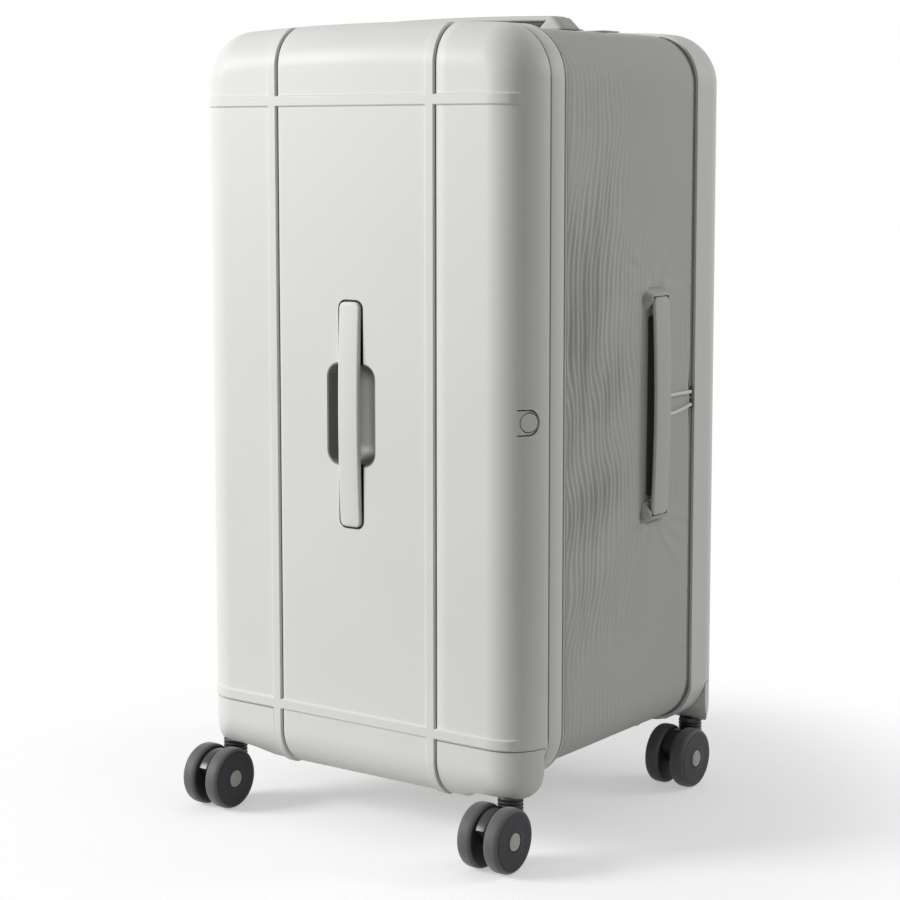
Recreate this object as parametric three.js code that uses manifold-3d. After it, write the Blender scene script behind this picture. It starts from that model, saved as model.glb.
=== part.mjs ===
// A tall trunk suitcase on four twin-wheel casters: two ribbed hard shells with a padded fabric gusset
// between them.
// Millimetres, +Z up. Until the last lines move it, x = 0 is the case's middle, y = 0 its front face
// and z = 0 the floor.
// The front shell is a door, hinged on the left and let go by a push button on its rounded right edge.
// The back shell zips to the gusset and carries the telescopic handle.
// The front, the top and the right side have pull-out grips.
import * as THREE from "three";
import { mergeVertices } from "three/addons/utils/BufferGeometryUtils.js";
import Module from "manifold-3d";

const wasm = await Module();
wasm.setup();

// The case as a whole
const caseWidth = 381;
const caseDepth = 364;
const caseTop = 747; // top of both shells at their corners, above the floor
const topCrown = 7; // how much higher the middle of the top is
const bodyBottom = 68; // underside of the frame and of the shells' rims above the floor
const chinBottom = 48.5; // underside of the shells' plinths and corner housings
const cornerRadius = 46; // seen from the front
const chinCorner = 40; // the same on the corner housings
const edgeRadius = 39; // round the front face, and round the back face
const shellWall = 3;
const doorDepth = 42.5; // front face to the middle of the door's seam
const frameDepth = 23;
const backShellDepth = 65;
const seamGap = 0.6; // between hard parts that come apart
const seat = 0.3; // between parts that rest on each other
const overrun = 5; // how far a cutter runs past what it cuts
const cornerSteps = 5; // facets in a quarter turn
const edgeSteps = 5;
const crownSteps = 4;
const mergeTolerance = 1e-4; // corners closer than this are one
const halfWidth = caseWidth / 2;

// Raised ribs over both shells
const ribWidth = 11;
const ribHeight = 2;
const uprightRibX = 91; // centre lines, left and right of the middle
const upperRibZ = 683;
const lowerRibZ = 116;
const ribEnd = 31; // depth at which the ribs stop, short of the seam

// Corner housings that hold the casters
const housingDrop = 5; // a housing's top edge below the lower rib
const housingReach = 36; // depth of a housing's upper part
const housingWall = 3;
const bossRadius = 14;
const bossBottom = 64.5;
const bossTop = 94;
const archRise = 65; // the underside near the boss, lifted over the wheels
const archShoulder = 57; // height at which the lifted part turns in
const archWide = 62; // its radius at the mouth
const archMiddle = 48; // at its shoulder
const archNarrow = 26; // and at its top

// Casters
const wheelRadius = 29.5;
const wheelWidth = 16.6;
const wheelSpacing = 12.2; // between a pair's inner faces
const tyreRound = 5;
const wheelTrail = 25; // swivel axis to wheel axle
const casterInsetX = 26; // swivel axis from the case's side
const casterInsetY = 20.5; // and from its front or back face
const neckRadius = 11.8;
const stemRadius = 5;
const coverWidth = 11.4; // the fork's arched plate between the wheels
const coverRadius = 26;
const coverLowEdge = 12; // above the axle
const axleRadius = 3;
const capRadius = 7;
const capThick = 1.2;
const capSink = 0.6; // the cap's rim below the wheel's face
const bearingClearance = 0.4;
const wheelSides = 20;
const roundSides = 12;

// Fabric gusset between the frame and the back shell, with its piping and zip
const gussetInset = 2.5; // its crown below the rims' faces
const gussetPinch = 2.2; // further in at its two sewn edges
const gussetRise = 12; // from a sewn edge to the crown
const gussetWall = 5;
const gussetBottom = 72;
const pipingWidth = 2.6;
const pipingInset = 0.8;
const zipHalf = 2; // one side's tape and teeth
const zipInset = 2;
const zipThick = 2.4;

// Frame and linings
const frameWall = 3;
const frameFlange = 11; // how far its rear flange reaches in
const flangeThick = 2;
const liningThick = 1.6;

// Grips: each is a bowed bar on two legs that slide through a floor
const gripLength = 208;
const gripWidth = 23.5;
const gripThick = 5.5;
const gripEdge = 2; // rounding of its section
const gripRound = 6; // rounding of its ends
const gripSteps = 8;
const gripTravel = 10;
const legWidth = 12;
const legLong = 10;
const legInset = 10; // from the bar's end
const legGap = 0.4;
const footThick = 2.4;
const footLap = 3; // how far a leg's foot reaches past the leg
const gripHeight = 396.5; // centre of the front and side grips
const frontGripRise = 2.5; // the ends of its outer face over the surface behind it
const frontGripBow = 3; // how much further its middle stands out
const sideGripRise = 9.7;
const sideGripBow = 3.2;
const topGripRise = 8.7;
const topGripBow = 6;
const sideGripDepth = 225; // behind the front face
const topGripDepth = 190;
const mountFloor = 2;
const mountMargin = 5; // round the bar
const mountBack = 17; // how far a mount reaches along the bar
const mountSlack = 0.8; // between the bar and its pocket

// Cup behind the front grip
const cupWidth = 57;
const cupHeight = 96;
const cupCorner = 14;
const cupDepth = 22;
const cupTaper = 9; // how much narrower its floor is, all round
const cupWall = 1.8;
const channelDepth = 5;
const channelMargin = 1.4; // round the bar
const cupFlange = 4;

// Latch, on the door's rounded right edge
const latchHeight = 401;
const latchTurn = THREE.MathUtils.degToRad(59); // from facing forward to facing right
const buttonRadius = 8.7;
const buttonLong = 6;
const buttonSunk = 0.8; // its face below the shell's
const buttonStemRadius = 3.5;
const buttonStemLong = 8;
const bezelMargin = 3.3; // round the button
const bezelLong = 7;
const scoopMargin = 1.9;
const scoopLong = 13; // the thumb scoop, from the button's centre forward
const scoopDepth = 2.4;
const caseInset = 12.5; // the latch case, behind the button, in from the suitcase's side
const caseWide = 16;
const caseDeep = 12;
const caseBack = 2.5; // its rear face in front of the door's seam
const caseAbove = 13; // the case's top over the button's centre
const caseBelow = 36;
const caseWall = 1.8; // behind the bolt's room
const boltDrop = 24; // the bolt below the button's centre
const boltTall = 9;
const boltDeep = 5;
const boltFront = 5.5; // the bolt's middle in front of the seam
const boltRoomBehind = 5; // spare room for the bolt's travel
const strikerInset = 7.1; // the keeper plate, in from the suitcase's side
const strikerThick = 2;
const strikerFront = 9.5; // its front edge in front of the seam
const strikerMargin = 3; // round its slot
const strikerBack = 3.5; // its foot on the frame, behind the seam
const strikerFoot = 14;

// Door hinge on the left seam
const hingeHeight = 408;
const knuckleLong = 84;
const knuckleCount = 5;
const knuckleRadius = 3;
const pinRadius = 1.4;
const pinHead = 2.2;
const pinHeadTall = 1;
const knuckleGap = 0.5;
const leafThick = 1.4;
const leafWide = 16;

// Telescopic handle in the back shell. The depth is measured inwards from the back face.
const trolleyDepth = 46.7;
const tubeSpread = 60; // each tube's centre from the middle
const outerTube = [22, 15];
const middleTube = [18.4, 11.4];
const innerTube = [14.8, 7.8];
const tubeWall = 1.2;
const stageFloor = 6; // each stage's foot above the foot it slides in
const stageStep = 2; // each stage's top above the stage outside it
const wellWide = 160; // the well in the top that the handle rests in
const wellDeep = 31;
const wellTall = 25;
const wellWall = 2;
const wellLip = 1.2; // past the shell's top
const wellFlange = 3;
const trolleyGripWide = 148;
const trolleyGripDeep = 23;
const trolleyGripTall = 20;
const trolleyGripRound = 7;
const pushWide = 26;
const pushDeep = 11;
const pushTall = 7;
const pushProud = 1;
const pushTravel = 4;
const bracketTall = 8;
const bracketLap = 8;

// Zip sliders with their cord pulls, at the rear seam on the right side
const sliderHeights = [403.5, 391.5];
const sliderOut = 3.2;
const sliderTall = 9;
const pullLong = 46;
const pullRadius = 1.5;
const pullSpread = 6; // the lower pull's drop along its length
const pullSides = 8;
const pullSteps = 6;

const shellColour = 0xd9d9d5;
const fabricColour = 0x8e8f88;
const gripColour = 0xbfc0bb;
const cupColour = 0x5f605e;
const darkColour = 0x2f2f31;
const tyreColour = 0x3c3c3e;
const capColour = 0xb9bab2;
const metalColour = 0xb8babd;
const liningColour = 0x9a9b95;

const material = (color, roughness, metalness = 0) =>
  new THREE.MeshStandardMaterial({ color, roughness, metalness });
const finishes = {
  shell: material(shellColour, 0.42),
  fabric: material(fabricColour, 0.85),
  grip: material(gripColour, 0.5),
  cup: material(cupColour, 0.6),
  dark: material(darkColour, 0.45),
  tyre: material(tyreColour, 0.6),
  cap: material(capColour, 0.4),
  metal: material(metalColour, 0.3, 0.9),
  lining: material(liningColour, 0.9),
};

// A closed mesh as a solid that can be joined and cut.
function solidOf(geometry) {
  const bare = geometry.clone();
  bare.deleteAttribute("normal");
  bare.deleteAttribute("uv");
  const merged = mergeVertices(bare, mergeTolerance);
  const mesh = new wasm.Mesh({
    numProp: 3,
    vertProperties: new Float32Array(merged.attributes.position.array),
    triVerts: new Uint32Array(merged.index.array),
  });
  return new wasm.Manifold(mesh);
}

// A solid as a geometry.
function geometryOf(solid) {
  const mesh = solid.getMesh();
  const geometry = new THREE.BufferGeometry();
  const points = Float32Array.from(mesh.vertProperties);
  geometry.setAttribute("position", new THREE.BufferAttribute(points, 3));
  geometry.setIndex(new THREE.BufferAttribute(Uint32Array.from(mesh.triVerts), 1));
  return geometry;
}

const join = (...solids) => solids.reduce((sum, next) => sum.add(next));
const cut = (solid, ...tools) => tools.reduce((rest, tool) => rest.subtract(tool), solid);

// A solid moved by a matrix.
const moved = (solid, matrix) => solidOf(geometryOf(solid).applyMatrix4(matrix));

// A frame of three directions at a point.
const placeAt = (u, v, w, point) =>
  new THREE.Matrix4()
    .makeBasis(new THREE.Vector3(...u), new THREE.Vector3(...v), new THREE.Vector3(...w))
    .setPosition(...point);

// A block between two places on each axis.
function box([x0, x1], [y0, y1], [z0, z1]) {
  const geometry = new THREE.BoxGeometry(x1 - x0, y1 - y0, z1 - z0);
  geometry.translate((x0 + x1) / 2, (y0 + y1) / 2, (z0 + z1) / 2);
  return solidOf(geometry);
}

const around = (centre, size) => [centre - size / 2, centre + size / 2];

// A round bar along z, or a cone where the radius at its top differs.
function rod([x, y], [from, to], radius, sides = roundSides, topRadius = radius) {
  const geometry = new THREE.CylinderGeometry(topRadius, radius, to - from, sides);
  geometry.rotateX(Math.PI / 2);
  geometry.translate(x, y, (from + to) / 2);
  return solidOf(geometry);
}

// A round bar along x.
function crossRod([y, z], [from, to], radius, sides = roundSides) {
  const geometry = new THREE.CylinderGeometry(radius, radius, to - from, sides);
  geometry.rotateZ(Math.PI / 2);
  geometry.translate((from + to) / 2, y, z);
  return solidOf(geometry);
}

// A piece turned about the x axis, from a closed profile of [x, radius].
function turned(profile, sides) {
  const points = [...profile, profile[0]].map(([x, radius]) => new THREE.Vector2(radius, x));
  const geometry = new THREE.LatheGeometry(points, sides);
  geometry.rotateZ(-Math.PI / 2);
  return solidOf(geometry);
}

// The same geometry with its faces turned to the other side.
function flipped(geometry) {
  const copy = geometry.clone();
  const index = copy.index.array;
  for (let i = 0; i < index.length; i += 3) [index[i + 1], index[i + 2]] = [index[i + 2], index[i + 1]];
  return copy;
}

// Points of an upright rounded rectangle with a crowned top, at the depth y and brought in by an inset.
function outlineRing({ half, low, high, corner, crown }, y, inset) {
  const radius = corner - inset;
  const flat = half - corner;
  const centres = [
    [flat, high - corner],
    [-flat, high - corner],
    [-flat, low + corner],
    [flat, low + corner],
  ];
  const points = centres.flatMap(([x, z], quarter) => {
    const arc = Array.from({ length: cornerSteps + 1 }, (_, step) => {
      const angle = ((quarter + step / cornerSteps) * Math.PI) / 2;
      return [x + radius * Math.cos(angle), z + radius * Math.sin(angle)];
    });
    const across = Array.from({ length: crownSteps - 1 }, (_, step) => {
      return [flat * (1 - (2 * (step + 1)) / crownSteps), z + radius];
    });
    return quarter === 0 ? [...arc, ...across] : arc;
  });
  const middle = (low + high) / 2;
  return points.map(([x, z]) => [x, y, z > middle ? z + crown * (1 - (x / half) ** 2) : z]);
}

// A body through sections of points, capped at both ends or running back to its first section.
function loft(sections, endless) {
  const count = sections[0].length;
  const geometry = new THREE.BufferGeometry();
  geometry.setAttribute("position", new THREE.Float32BufferAttribute(sections.flat(2), 3));
  const faces = [];
  const bands = endless ? sections.length : sections.length - 1;
  for (let band = 0; band < bands; band++) {
    const here = band * count;
    const there = ((band + 1) % sections.length) * count;
    for (let i = 0; i < count; i++) {
      const next = (i + 1) % count;
      faces.push(here + i, here + next, there + next);
      faces.push(here + i, there + next, there + i);
    }
  }
  if (!endless) {
    const last = (sections.length - 1) * count;
    for (let i = 1; i < count - 1; i++) {
      faces.push(0, i + 1, i);
      faces.push(last, last + i, last + i + 1);
    }
  }
  geometry.setIndex(faces);
  const solid = solidOf(geometry);
  return solid.volume() < 0 ? solidOf(flipped(geometry)) : solid;
}

// A block, or a ring, of one outline through stations of [depth, inset].
const rings = (outline, stations) => stations.map(([y, inset]) => outlineRing(outline, y, inset));
const block = (outline, stations) => loft(rings(outline, stations), false);
const ring = (outline, profile) => loft(rings(outline, profile), true);

// Stations of a block whose front edge is rounded, from the depth of its face to its end.
function roundedStations(face, radius, inset, end) {
  const stations = Array.from({ length: edgeSteps + 1 }, (_, step) => {
    const angle = (step / edgeSteps) * (Math.PI / 2);
    return [face + radius * (1 - Math.cos(angle)), inset + radius * (1 - Math.sin(angle))];
  });
  return [...stations, [end, inset]];
}

// A rounded rectangle about the origin.
function roundedShape(width, height, radius) {
  const centres = [
    [width / 2 - radius, height / 2 - radius],
    [radius - width / 2, height / 2 - radius],
    [radius - width / 2, radius - height / 2],
    [width / 2 - radius, radius - height / 2],
  ];
  const points = centres.flatMap(([x, y], quarter) =>
    Array.from({ length: edgeSteps + 1 }, (_, step) => {
      const angle = ((quarter + step / edgeSteps) * Math.PI) / 2;
      return new THREE.Vector2(x + radius * Math.cos(angle), y + radius * Math.sin(angle));
    }),
  );
  return new THREE.Shape(points);
}

const extruded = (shape, long) => new THREE.ExtrudeGeometry(shape, { depth: long, bevelEnabled: false });

// A flat shape made thick along z, or along y with the shape's own y upright.
function pad(shape, [low, high], [x, y] = [0, 0]) {
  return solidOf(mergedIndex(extruded(shape, high - low).translate(x, y, low)));
}
function wallPad(shape, [near, far], height) {
  return solidOf(mergedIndex(extruded(shape, far - near).rotateX(Math.PI / 2).translate(0, far, height)));
}

// Extruded shapes come without an index.
function mergedIndex(geometry) {
  geometry.deleteAttribute("normal");
  geometry.deleteAttribute("uv");
  return mergeVertices(geometry, mergeTolerance);
}

const group = new THREE.Group();

function addPiece(name, solid, finish) {
  const geometry = geometryOf(solid).toNonIndexed();
  geometry.computeVertexNormals();
  const mesh = new THREE.Mesh(geometry, finishes[finish]);
  mesh.name = name;
  group.add(mesh);
}

const bodyOutline = {
  half: halfWidth,
  low: bodyBottom,
  high: caseTop,
  corner: cornerRadius,
  crown: topCrown,
};
const chinOutline = { ...bodyOutline, low: chinBottom, corner: chinCorner };
const grownOutline = (outline, grow) => ({
  ...outline,
  half: outline.half + grow,
  low: outline.low - grow,
  high: outline.high + grow,
  corner: outline.corner + grow,
});

// The outer form of a hard shell, grown on all its faces, as far back as the depth `end`.
const shellForm = (outline, grow, end) =>
  block(grownOutline(outline, grow), roundedStations(-grow, edgeRadius + grow, 0, end));

// The hollow of a hard shell, one wall inside its outer form.
const hollowForm = (outline, end) =>
  block(outline, roundedStations(shellWall, edgeRadius - shellWall, shellWall, end));

const housingTop = lowerRibZ - ribWidth / 2 - housingDrop;
const housingSide = uprightRibX + ribWidth / 2 + seat;

// A side's span along x, from one distance to another past the middle.
const span = (side, near, far) => (side > 0 ? [near, far] : [-far, -near]);

// Where a corner housing sits, grown by a gap for the shell that it is let into.
function housingRegion(side, gap) {
  const across = span(side, housingSide - gap, halfWidth + overrun);
  return join(
    box(across, [-overrun, housingReach + gap], [0, housingTop + gap]),
    box(across, [-overrun, doorDepth - seamGap / 2], [0, bodyBottom - seat + gap]),
  );
}

// A ribbed hard shell with its open side at the depth `end`, a hollow plinth and notched lower corners.
function hardShell(end) {
  const plinthHalf = housingSide - seat;
  const plinth = box([-plinthHalf, plinthHalf], [-overrun, end], [0, lowerRibZ]);
  const upright = (x) => box(around(x, ribWidth), [-overrun, ribEnd], [0, caseTop + topCrown + overrun]);
  const level = (z) => box([-caseWidth, caseWidth], [-overrun, ribEnd], around(z, ribWidth));
  const ribs = join(upright(-uprightRibX), upright(uprightRibX), level(lowerRibZ), level(upperRibZ));
  const outer = join(
    shellForm(bodyOutline, 0, end),
    shellForm(chinOutline, 0, end).intersect(plinth),
    shellForm({ ...chinOutline, corner: cornerRadius }, ribHeight, ribEnd).intersect(ribs),
  );
  const plinthRoom = box(
    [shellWall - plinthHalf, plinthHalf - shellWall],
    [0, end - shellWall],
    [0, lowerRibZ],
  );
  return cut(
    outer,
    hollowForm(bodyOutline, end + overrun),
    hollowForm(chinOutline, end).intersect(plinthRoom),
    housingRegion(1, seat),
    housingRegion(-1, seat),
  );
}

// A corner housing: a hollow moulding with the boss that a caster's stem turns in.
function cornerHousing(side) {
  const axis = [side * (halfWidth - casterInsetX), casterInsetY];
  const room = hollowForm(chinOutline, doorDepth).intersect(
    box(
      span(side, housingSide + housingWall, halfWidth),
      [0, housingReach - housingWall],
      [archRise + housingWall, caseTop],
    ),
  );
  const arch = join(
    rod(axis, [chinBottom - overrun, archShoulder], archWide, 2 * wheelSides, archMiddle),
    rod(axis, [archShoulder, archRise], archMiddle, 2 * wheelSides, archNarrow),
  );
  const form = shellForm(chinOutline, 0, doorDepth).intersect(housingRegion(side, 0));
  const boss = rod(axis, [bossBottom, bossTop], bossRadius, wheelSides);
  const bore = rod(axis, [bossBottom - overrun, bossTop + overrun], stemRadius + bearingClearance);
  return cut(join(cut(form, room, arch), boss), bore);
}

// The back shell's pieces are the front's, turned to face backwards.
const toBack = new THREE.Matrix4().makeRotationZ(Math.PI).setPosition(0, caseDepth, 0);

// Outline of a fork's arched cover seen from the side: the axle is at the origin and the neck behind it.
function coverShape() {
  const start = Math.PI - Math.asin(coverLowEdge / coverRadius);
  const end = Math.PI / 4;
  const lug = 2 * axleRadius;
  const points = Array.from({ length: roundSides }, (_, step) => {
    const angle = start + ((end - start) * step) / (roundSides - 1);
    return new THREE.Vector2(coverRadius * Math.cos(angle), coverRadius * Math.sin(angle));
  });
  points.push(new THREE.Vector2(wheelTrail + neckRadius / 2, coverRadius * Math.sin(end)));
  points.push(new THREE.Vector2(wheelTrail, coverLowEdge));
  points.push(new THREE.Vector2(lug, -lug));
  points.push(new THREE.Vector2(-lug, -lug));
  return new THREE.Shape(points);
}

// A caster's fork with its swivel axis at the origin and the floor at z = 0.
function casterFork() {
  const sideways = placeAt([0, 1, 0], [0, 0, 1], [1, 0, 0], [-coverWidth / 2, -wheelTrail, wheelRadius]);
  const cover = solidOf(mergedIndex(extruded(coverShape(), coverWidth)).applyMatrix4(sideways));
  const neckFoot = wheelRadius + coverLowEdge;
  const neck = rod([0, 0], [neckFoot, bossBottom - bearingClearance], neckRadius, wheelSides);
  const stem = rod([0, 0], [neckFoot, bossTop - seat], stemRadius);
  const axle = [-wheelTrail, wheelRadius];
  const room = wheelRadius + 2 * bearingClearance;
  const past = neckRadius + overrun;
  return cut(
    join(cover, neck, stem),
    crossRod(axle, [coverWidth / 2, past], room, wheelSides),
    crossRod(axle, [-past, -coverWidth / 2], room, wheelSides),
    crossRod(axle, [-past, past], axleRadius + bearingClearance),
  );
}

// A pair's axle with a flat round cap on each end, about the x axis.
function casterAxle() {
  const tip = wheelSpacing / 2 + wheelWidth - capSink / 2;
  const shoulder = tip - capThick;
  const half = [
    [shoulder, axleRadius],
    [shoulder, capRadius],
    [tip - capThick / 3, capRadius],
    [tip, capRadius - capThick / 3],
    [tip, 0],
  ];
  const otherHalf = [...half].reverse().map(([x, radius]) => [-x, radius]);
  return turned([...otherHalf, ...half], roundSides);
}

// The outer of a pair's wheels, about the x axis.
function casterWheel() {
  const inner = wheelSpacing / 2;
  const outer = inner + wheelWidth;
  const bore = axleRadius + bearingClearance;
  const recess = capRadius + bearingClearance;
  const capSeat = outer - capSink / 2 - capThick - bearingClearance;
  const round = tyreRound * Math.SQRT1_2;
  return turned(
    [
      [inner, bore],
      [inner, wheelRadius - tyreRound],
      [inner + tyreRound - round, wheelRadius - tyreRound + round],
      [inner + tyreRound, wheelRadius],
      [outer - tyreRound, wheelRadius],
      [outer - tyreRound + round, wheelRadius - tyreRound + round],
      [outer, wheelRadius - tyreRound],
      [outer, recess],
      [capSeat, recess],
      [capSeat, bore],
    ],
    wheelSides,
  );
}

function addCaster(name, x, y) {
  const swivel = new THREE.Matrix4().makeTranslation(x, y, 0);
  const axle = new THREE.Matrix4().makeTranslation(x, y - wheelTrail, wheelRadius);
  const mirrored = axle.clone().multiply(new THREE.Matrix4().makeRotationZ(Math.PI));
  addPiece(`${name}_fork`, moved(casterFork(), swivel), "dark");
  addPiece(`${name}_axle`, moved(casterAxle(), axle), "cap");
  addPiece(`${name}_right_wheel`, moved(casterWheel(), axle), "tyre");
  addPiece(`${name}_left_wheel`, moved(casterWheel(), mirrored), "tyre");
}

// A grip in its own frame: x along the bar, z outwards, z = 0 at the surface that it stands over.
function gripBar(rise, bow, floorUnderside) {
  const half = gripLength / 2;
  const sections = Array.from({ length: gripSteps + 1 }, (_, step) => {
    const x = -half + (gripLength * step) / gripSteps;
    const top = rise + bow * (1 - (x / half) ** 2);
    return [
      [x, gripWidth / 2 - gripEdge, top],
      [x, gripWidth / 2, top - gripEdge],
      [x, gripWidth / 2, top - gripThick + gripEdge / 2],
      [x, gripWidth / 2 - gripEdge / 2, top - gripThick],
      [x, gripEdge / 2 - gripWidth / 2, top - gripThick],
      [x, -gripWidth / 2, top - gripThick + gripEdge / 2],
      [x, -gripWidth / 2, top - gripEdge],
      [x, gripEdge - gripWidth / 2, top],
    ];
  });
  const plan = pad(roundedShape(gripLength, gripWidth, gripRound), [-caseWidth, caseWidth]);
  const footTop = floorUnderside - gripTravel;
  const legs = [-1, 1].map((end) => {
    const x = end * (half - legInset);
    return join(
      box(around(x, legLong), around(0, legWidth), [footTop - footThick, rise - gripThick / 2]),
      box(around(x, legLong + 2 * footLap), around(0, legWidth), [footTop - footThick, footTop]),
    );
  });
  return join(loft(sections, false).intersect(plan), ...legs);
}

// Openings for a grip's legs, in the grip's frame.
const legSlots = (from, to) => {
  const slot = (x) => box(around(x, legLong + 2 * legGap), around(0, legWidth + 2 * legGap), [from, to]);
  return join(slot(legInset - gripLength / 2), slot(gripLength / 2 - legInset));
};

// A grip's end mount in the grip's frame: a sloped block with a pocket that the bar's end lies in.
function gripMount(rise) {
  const half = gripLength / 2;
  const height = rise - mountFloor / 2;
  const profile = new THREE.Shape([
    new THREE.Vector2(half - mountBack, seat),
    new THREE.Vector2(half + height + mountSlack, seat),
    new THREE.Vector2(half + height + mountSlack, seat + mountFloor),
    new THREE.Vector2(half + mountMargin, height),
    new THREE.Vector2(half - mountBack, height),
  ]);
  const wide = gripWidth + 2 * mountMargin;
  const body = wallPad(profile, around(0, wide), 0);
  const pocket = box(
    [half - mountBack - overrun, half + mountSlack],
    around(0, gripWidth + 2 * mountSlack),
    [seat + mountFloor, rise + overrun],
  );
  return cut(body, pocket, legSlots(0, rise));
}

const turnAround = new THREE.Matrix4().makeRotationZ(Math.PI);

// Where each grip's own frame lies in the case.
const gussetSide = halfWidth - gussetInset;
const gussetTop = caseTop - gussetInset;
const frontGripPlace = placeAt([0, 0, 1], [-1, 0, 0], [0, -1, 0], [0, 0, gripHeight]);
const sideGripPlace = placeAt([0, 0, 1], [0, -1, 0], [1, 0, 0], [gussetSide, sideGripDepth, gripHeight]);
const mountInnerX = gripLength / 2 - mountBack;
const crownAtMount = topCrown * (1 - (mountInnerX / gussetSide) ** 2);
const topGripPlace = placeAt([1, 0, 0], [0, 1, 0], [0, 0, 1], [0, topGripDepth, gussetTop + crownAtMount]);

// The cup behind the front grip: a shallow channel for the bar and a bowl for the fingers.
const cupOutline = (grow) => ({
  half: cupWidth / 2 + grow,
  low: gripHeight - cupHeight / 2 - grow,
  high: gripHeight + cupHeight / 2 + grow,
  corner: cupCorner + grow,
  crown: 0,
});
const channelShape = (grow) =>
  roundedShape(
    gripWidth + 2 * (channelMargin + grow),
    gripLength + 2 * (channelMargin + grow),
    gripRound + channelMargin + grow,
  );
const cupSolid = (grow, front, floorGrow) =>
  join(
    block(cupOutline(grow), [
      [front, 0],
      [cupDepth / 2, 0],
      [cupDepth + floorGrow, cupTaper],
    ]),
    wallPad(channelShape(grow), [front, channelDepth + floorGrow], gripHeight),
  );

function gripCup() {
  const flange = join(
    wallPad(channelShape(cupWall + cupFlange), [shellWall + seat, shellWall + seat + cupWall], gripHeight),
    block(cupOutline(cupWall + cupFlange), [
      [shellWall + seat, 0],
      [shellWall + seat + cupWall, 0],
    ]),
  );
  return cut(
    join(cupSolid(cupWall, 0, cupWall), flange),
    cupSolid(0, -overrun, 0),
    moved(legSlots(-channelDepth - overrun, 0), frontGripPlace),
  );
}

// The latch's frame: x up, y forward along the shell, z out of the shell.
const latchOut = [Math.sin(latchTurn), -Math.cos(latchTurn), 0];
const latchForward = [-Math.cos(latchTurn), -Math.sin(latchTurn), 0];
const latchPlace = placeAt([0, 0, 1], latchForward, latchOut, [
  halfWidth - edgeRadius + edgeRadius * Math.sin(latchTurn),
  edgeRadius - edgeRadius * Math.cos(latchTurn),
  latchHeight,
]);

// The D of the latch's bezel or scoop: round behind the button and straight in front of it.
function latchShape(radius, long) {
  const arc = Array.from({ length: roundSides + 1 }, (_, step) => {
    const angle = Math.PI + (step / roundSides) * Math.PI;
    return new THREE.Vector2(radius * Math.cos(angle), radius * Math.sin(angle));
  });
  return new THREE.Shape([...arc, new THREE.Vector2(radius, long), new THREE.Vector2(-radius, long)]);
}

const bezelRadius = buttonRadius + bezelMargin;
const bezelForward = scoopLong + (bezelMargin - scoopMargin);
const bezelBlock = (grow) =>
  moved(pad(latchShape(bezelRadius + grow, bezelForward + grow), [-bezelLong, overrun]), latchPlace);

function latchBezel() {
  const scoopShape = latchShape(buttonRadius + scoopMargin, bezelForward + overrun);
  const scoop = pad(scoopShape, [-scoopDepth, 2 * overrun]);
  const bore = rod([0, 0], [-bezelLong - overrun, overrun], buttonRadius + bearingClearance, wheelSides);
  return cut(
    bezelBlock(0).intersect(shellForm(bodyOutline, 0, doorDepth)),
    moved(scoop, latchPlace),
    moved(bore, latchPlace),
  );
}

function latchButton() {
  const back = -buttonSunk - buttonLong;
  const stem = rod([0, 0], [back - buttonStemLong, back], buttonStemRadius);
  return moved(join(rod([0, 0], [back, -buttonSunk], buttonRadius, wheelSides), stem), latchPlace);
}

const caseX = [halfWidth - caseInset - caseWide, halfWidth - caseInset];
const caseY = [doorDepth - caseBack - caseDeep, doorDepth - caseBack];
const strikerX = [halfWidth - strikerInset - strikerThick, halfWidth - strikerInset];
const boltY = doorDepth - boltFront;
const boltHeight = latchHeight - boltDrop;
const boltEnd = strikerX[0] - seat;

function latchCase() {
  const stemRoom = rod([0, 0], [-caseX[0], 0], buttonStemRadius + bearingClearance);
  const boltRoom = box(
    [caseX[0] + caseWall, caseX[1] + overrun],
    around(boltY, boltDeep + 2 * seat),
    around(boltHeight, boltTall + 2 * seat),
  );
  const body = box(caseX, caseY, [latchHeight - caseBelow, latchHeight + caseAbove]);
  return cut(body, moved(stemRoom, latchPlace), boltRoom);
}

function latchStriker() {
  const tall = around(boltHeight, boltTall + 4 * strikerMargin);
  const base = halfWidth - frameWall - seat;
  const webY = doorDepth + strikerBack;
  const plate = box(strikerX, [doorDepth - strikerFront, webY + strikerThick], tall);
  const web = box([strikerX[0], base], [webY, webY + strikerThick], tall);
  const foot = box([base - strikerThick, base], [webY, webY + strikerFoot], tall);
  const slot = box(
    [strikerX[0] - overrun, strikerX[1] + overrun],
    around(boltY, boltDeep + 2 * seamGap),
    around(boltHeight, boltTall + 2 * seamGap),
  );
  return cut(join(plate, web, foot), slot);
}

// The door's hinge: one leaf hugs the door's rounded edge, the other lies on the frame, on a shared pin.
const hingeX = -halfWidth - seat - knuckleRadius;
const hingeLong = knuckleCount * knuckleLong;
const hingeFoot = hingeHeight - hingeLong / 2;

// Every other knuckle, from the first or the second, shortened to leave a gap or grown to cut one.
function knuckles(first, lengthen, radius) {
  const feet = Array.from({ length: knuckleCount }, (_, place) => hingeFoot + place * knuckleLong);
  const bars = feet
    .filter((_, place) => place % 2 === first)
    .map((foot) => rod([hingeX, doorDepth], [foot - lengthen, foot + knuckleLong + lengthen], radius));
  return join(...bars);
}

const pinRoom = rod([hingeX, doorDepth], around(hingeHeight, hingeLong + overrun), pinRadius + seat);
const knuckleRoom = (first) => knuckles(first, knuckleGap / 2, knuckleRadius + seamGap);

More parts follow.
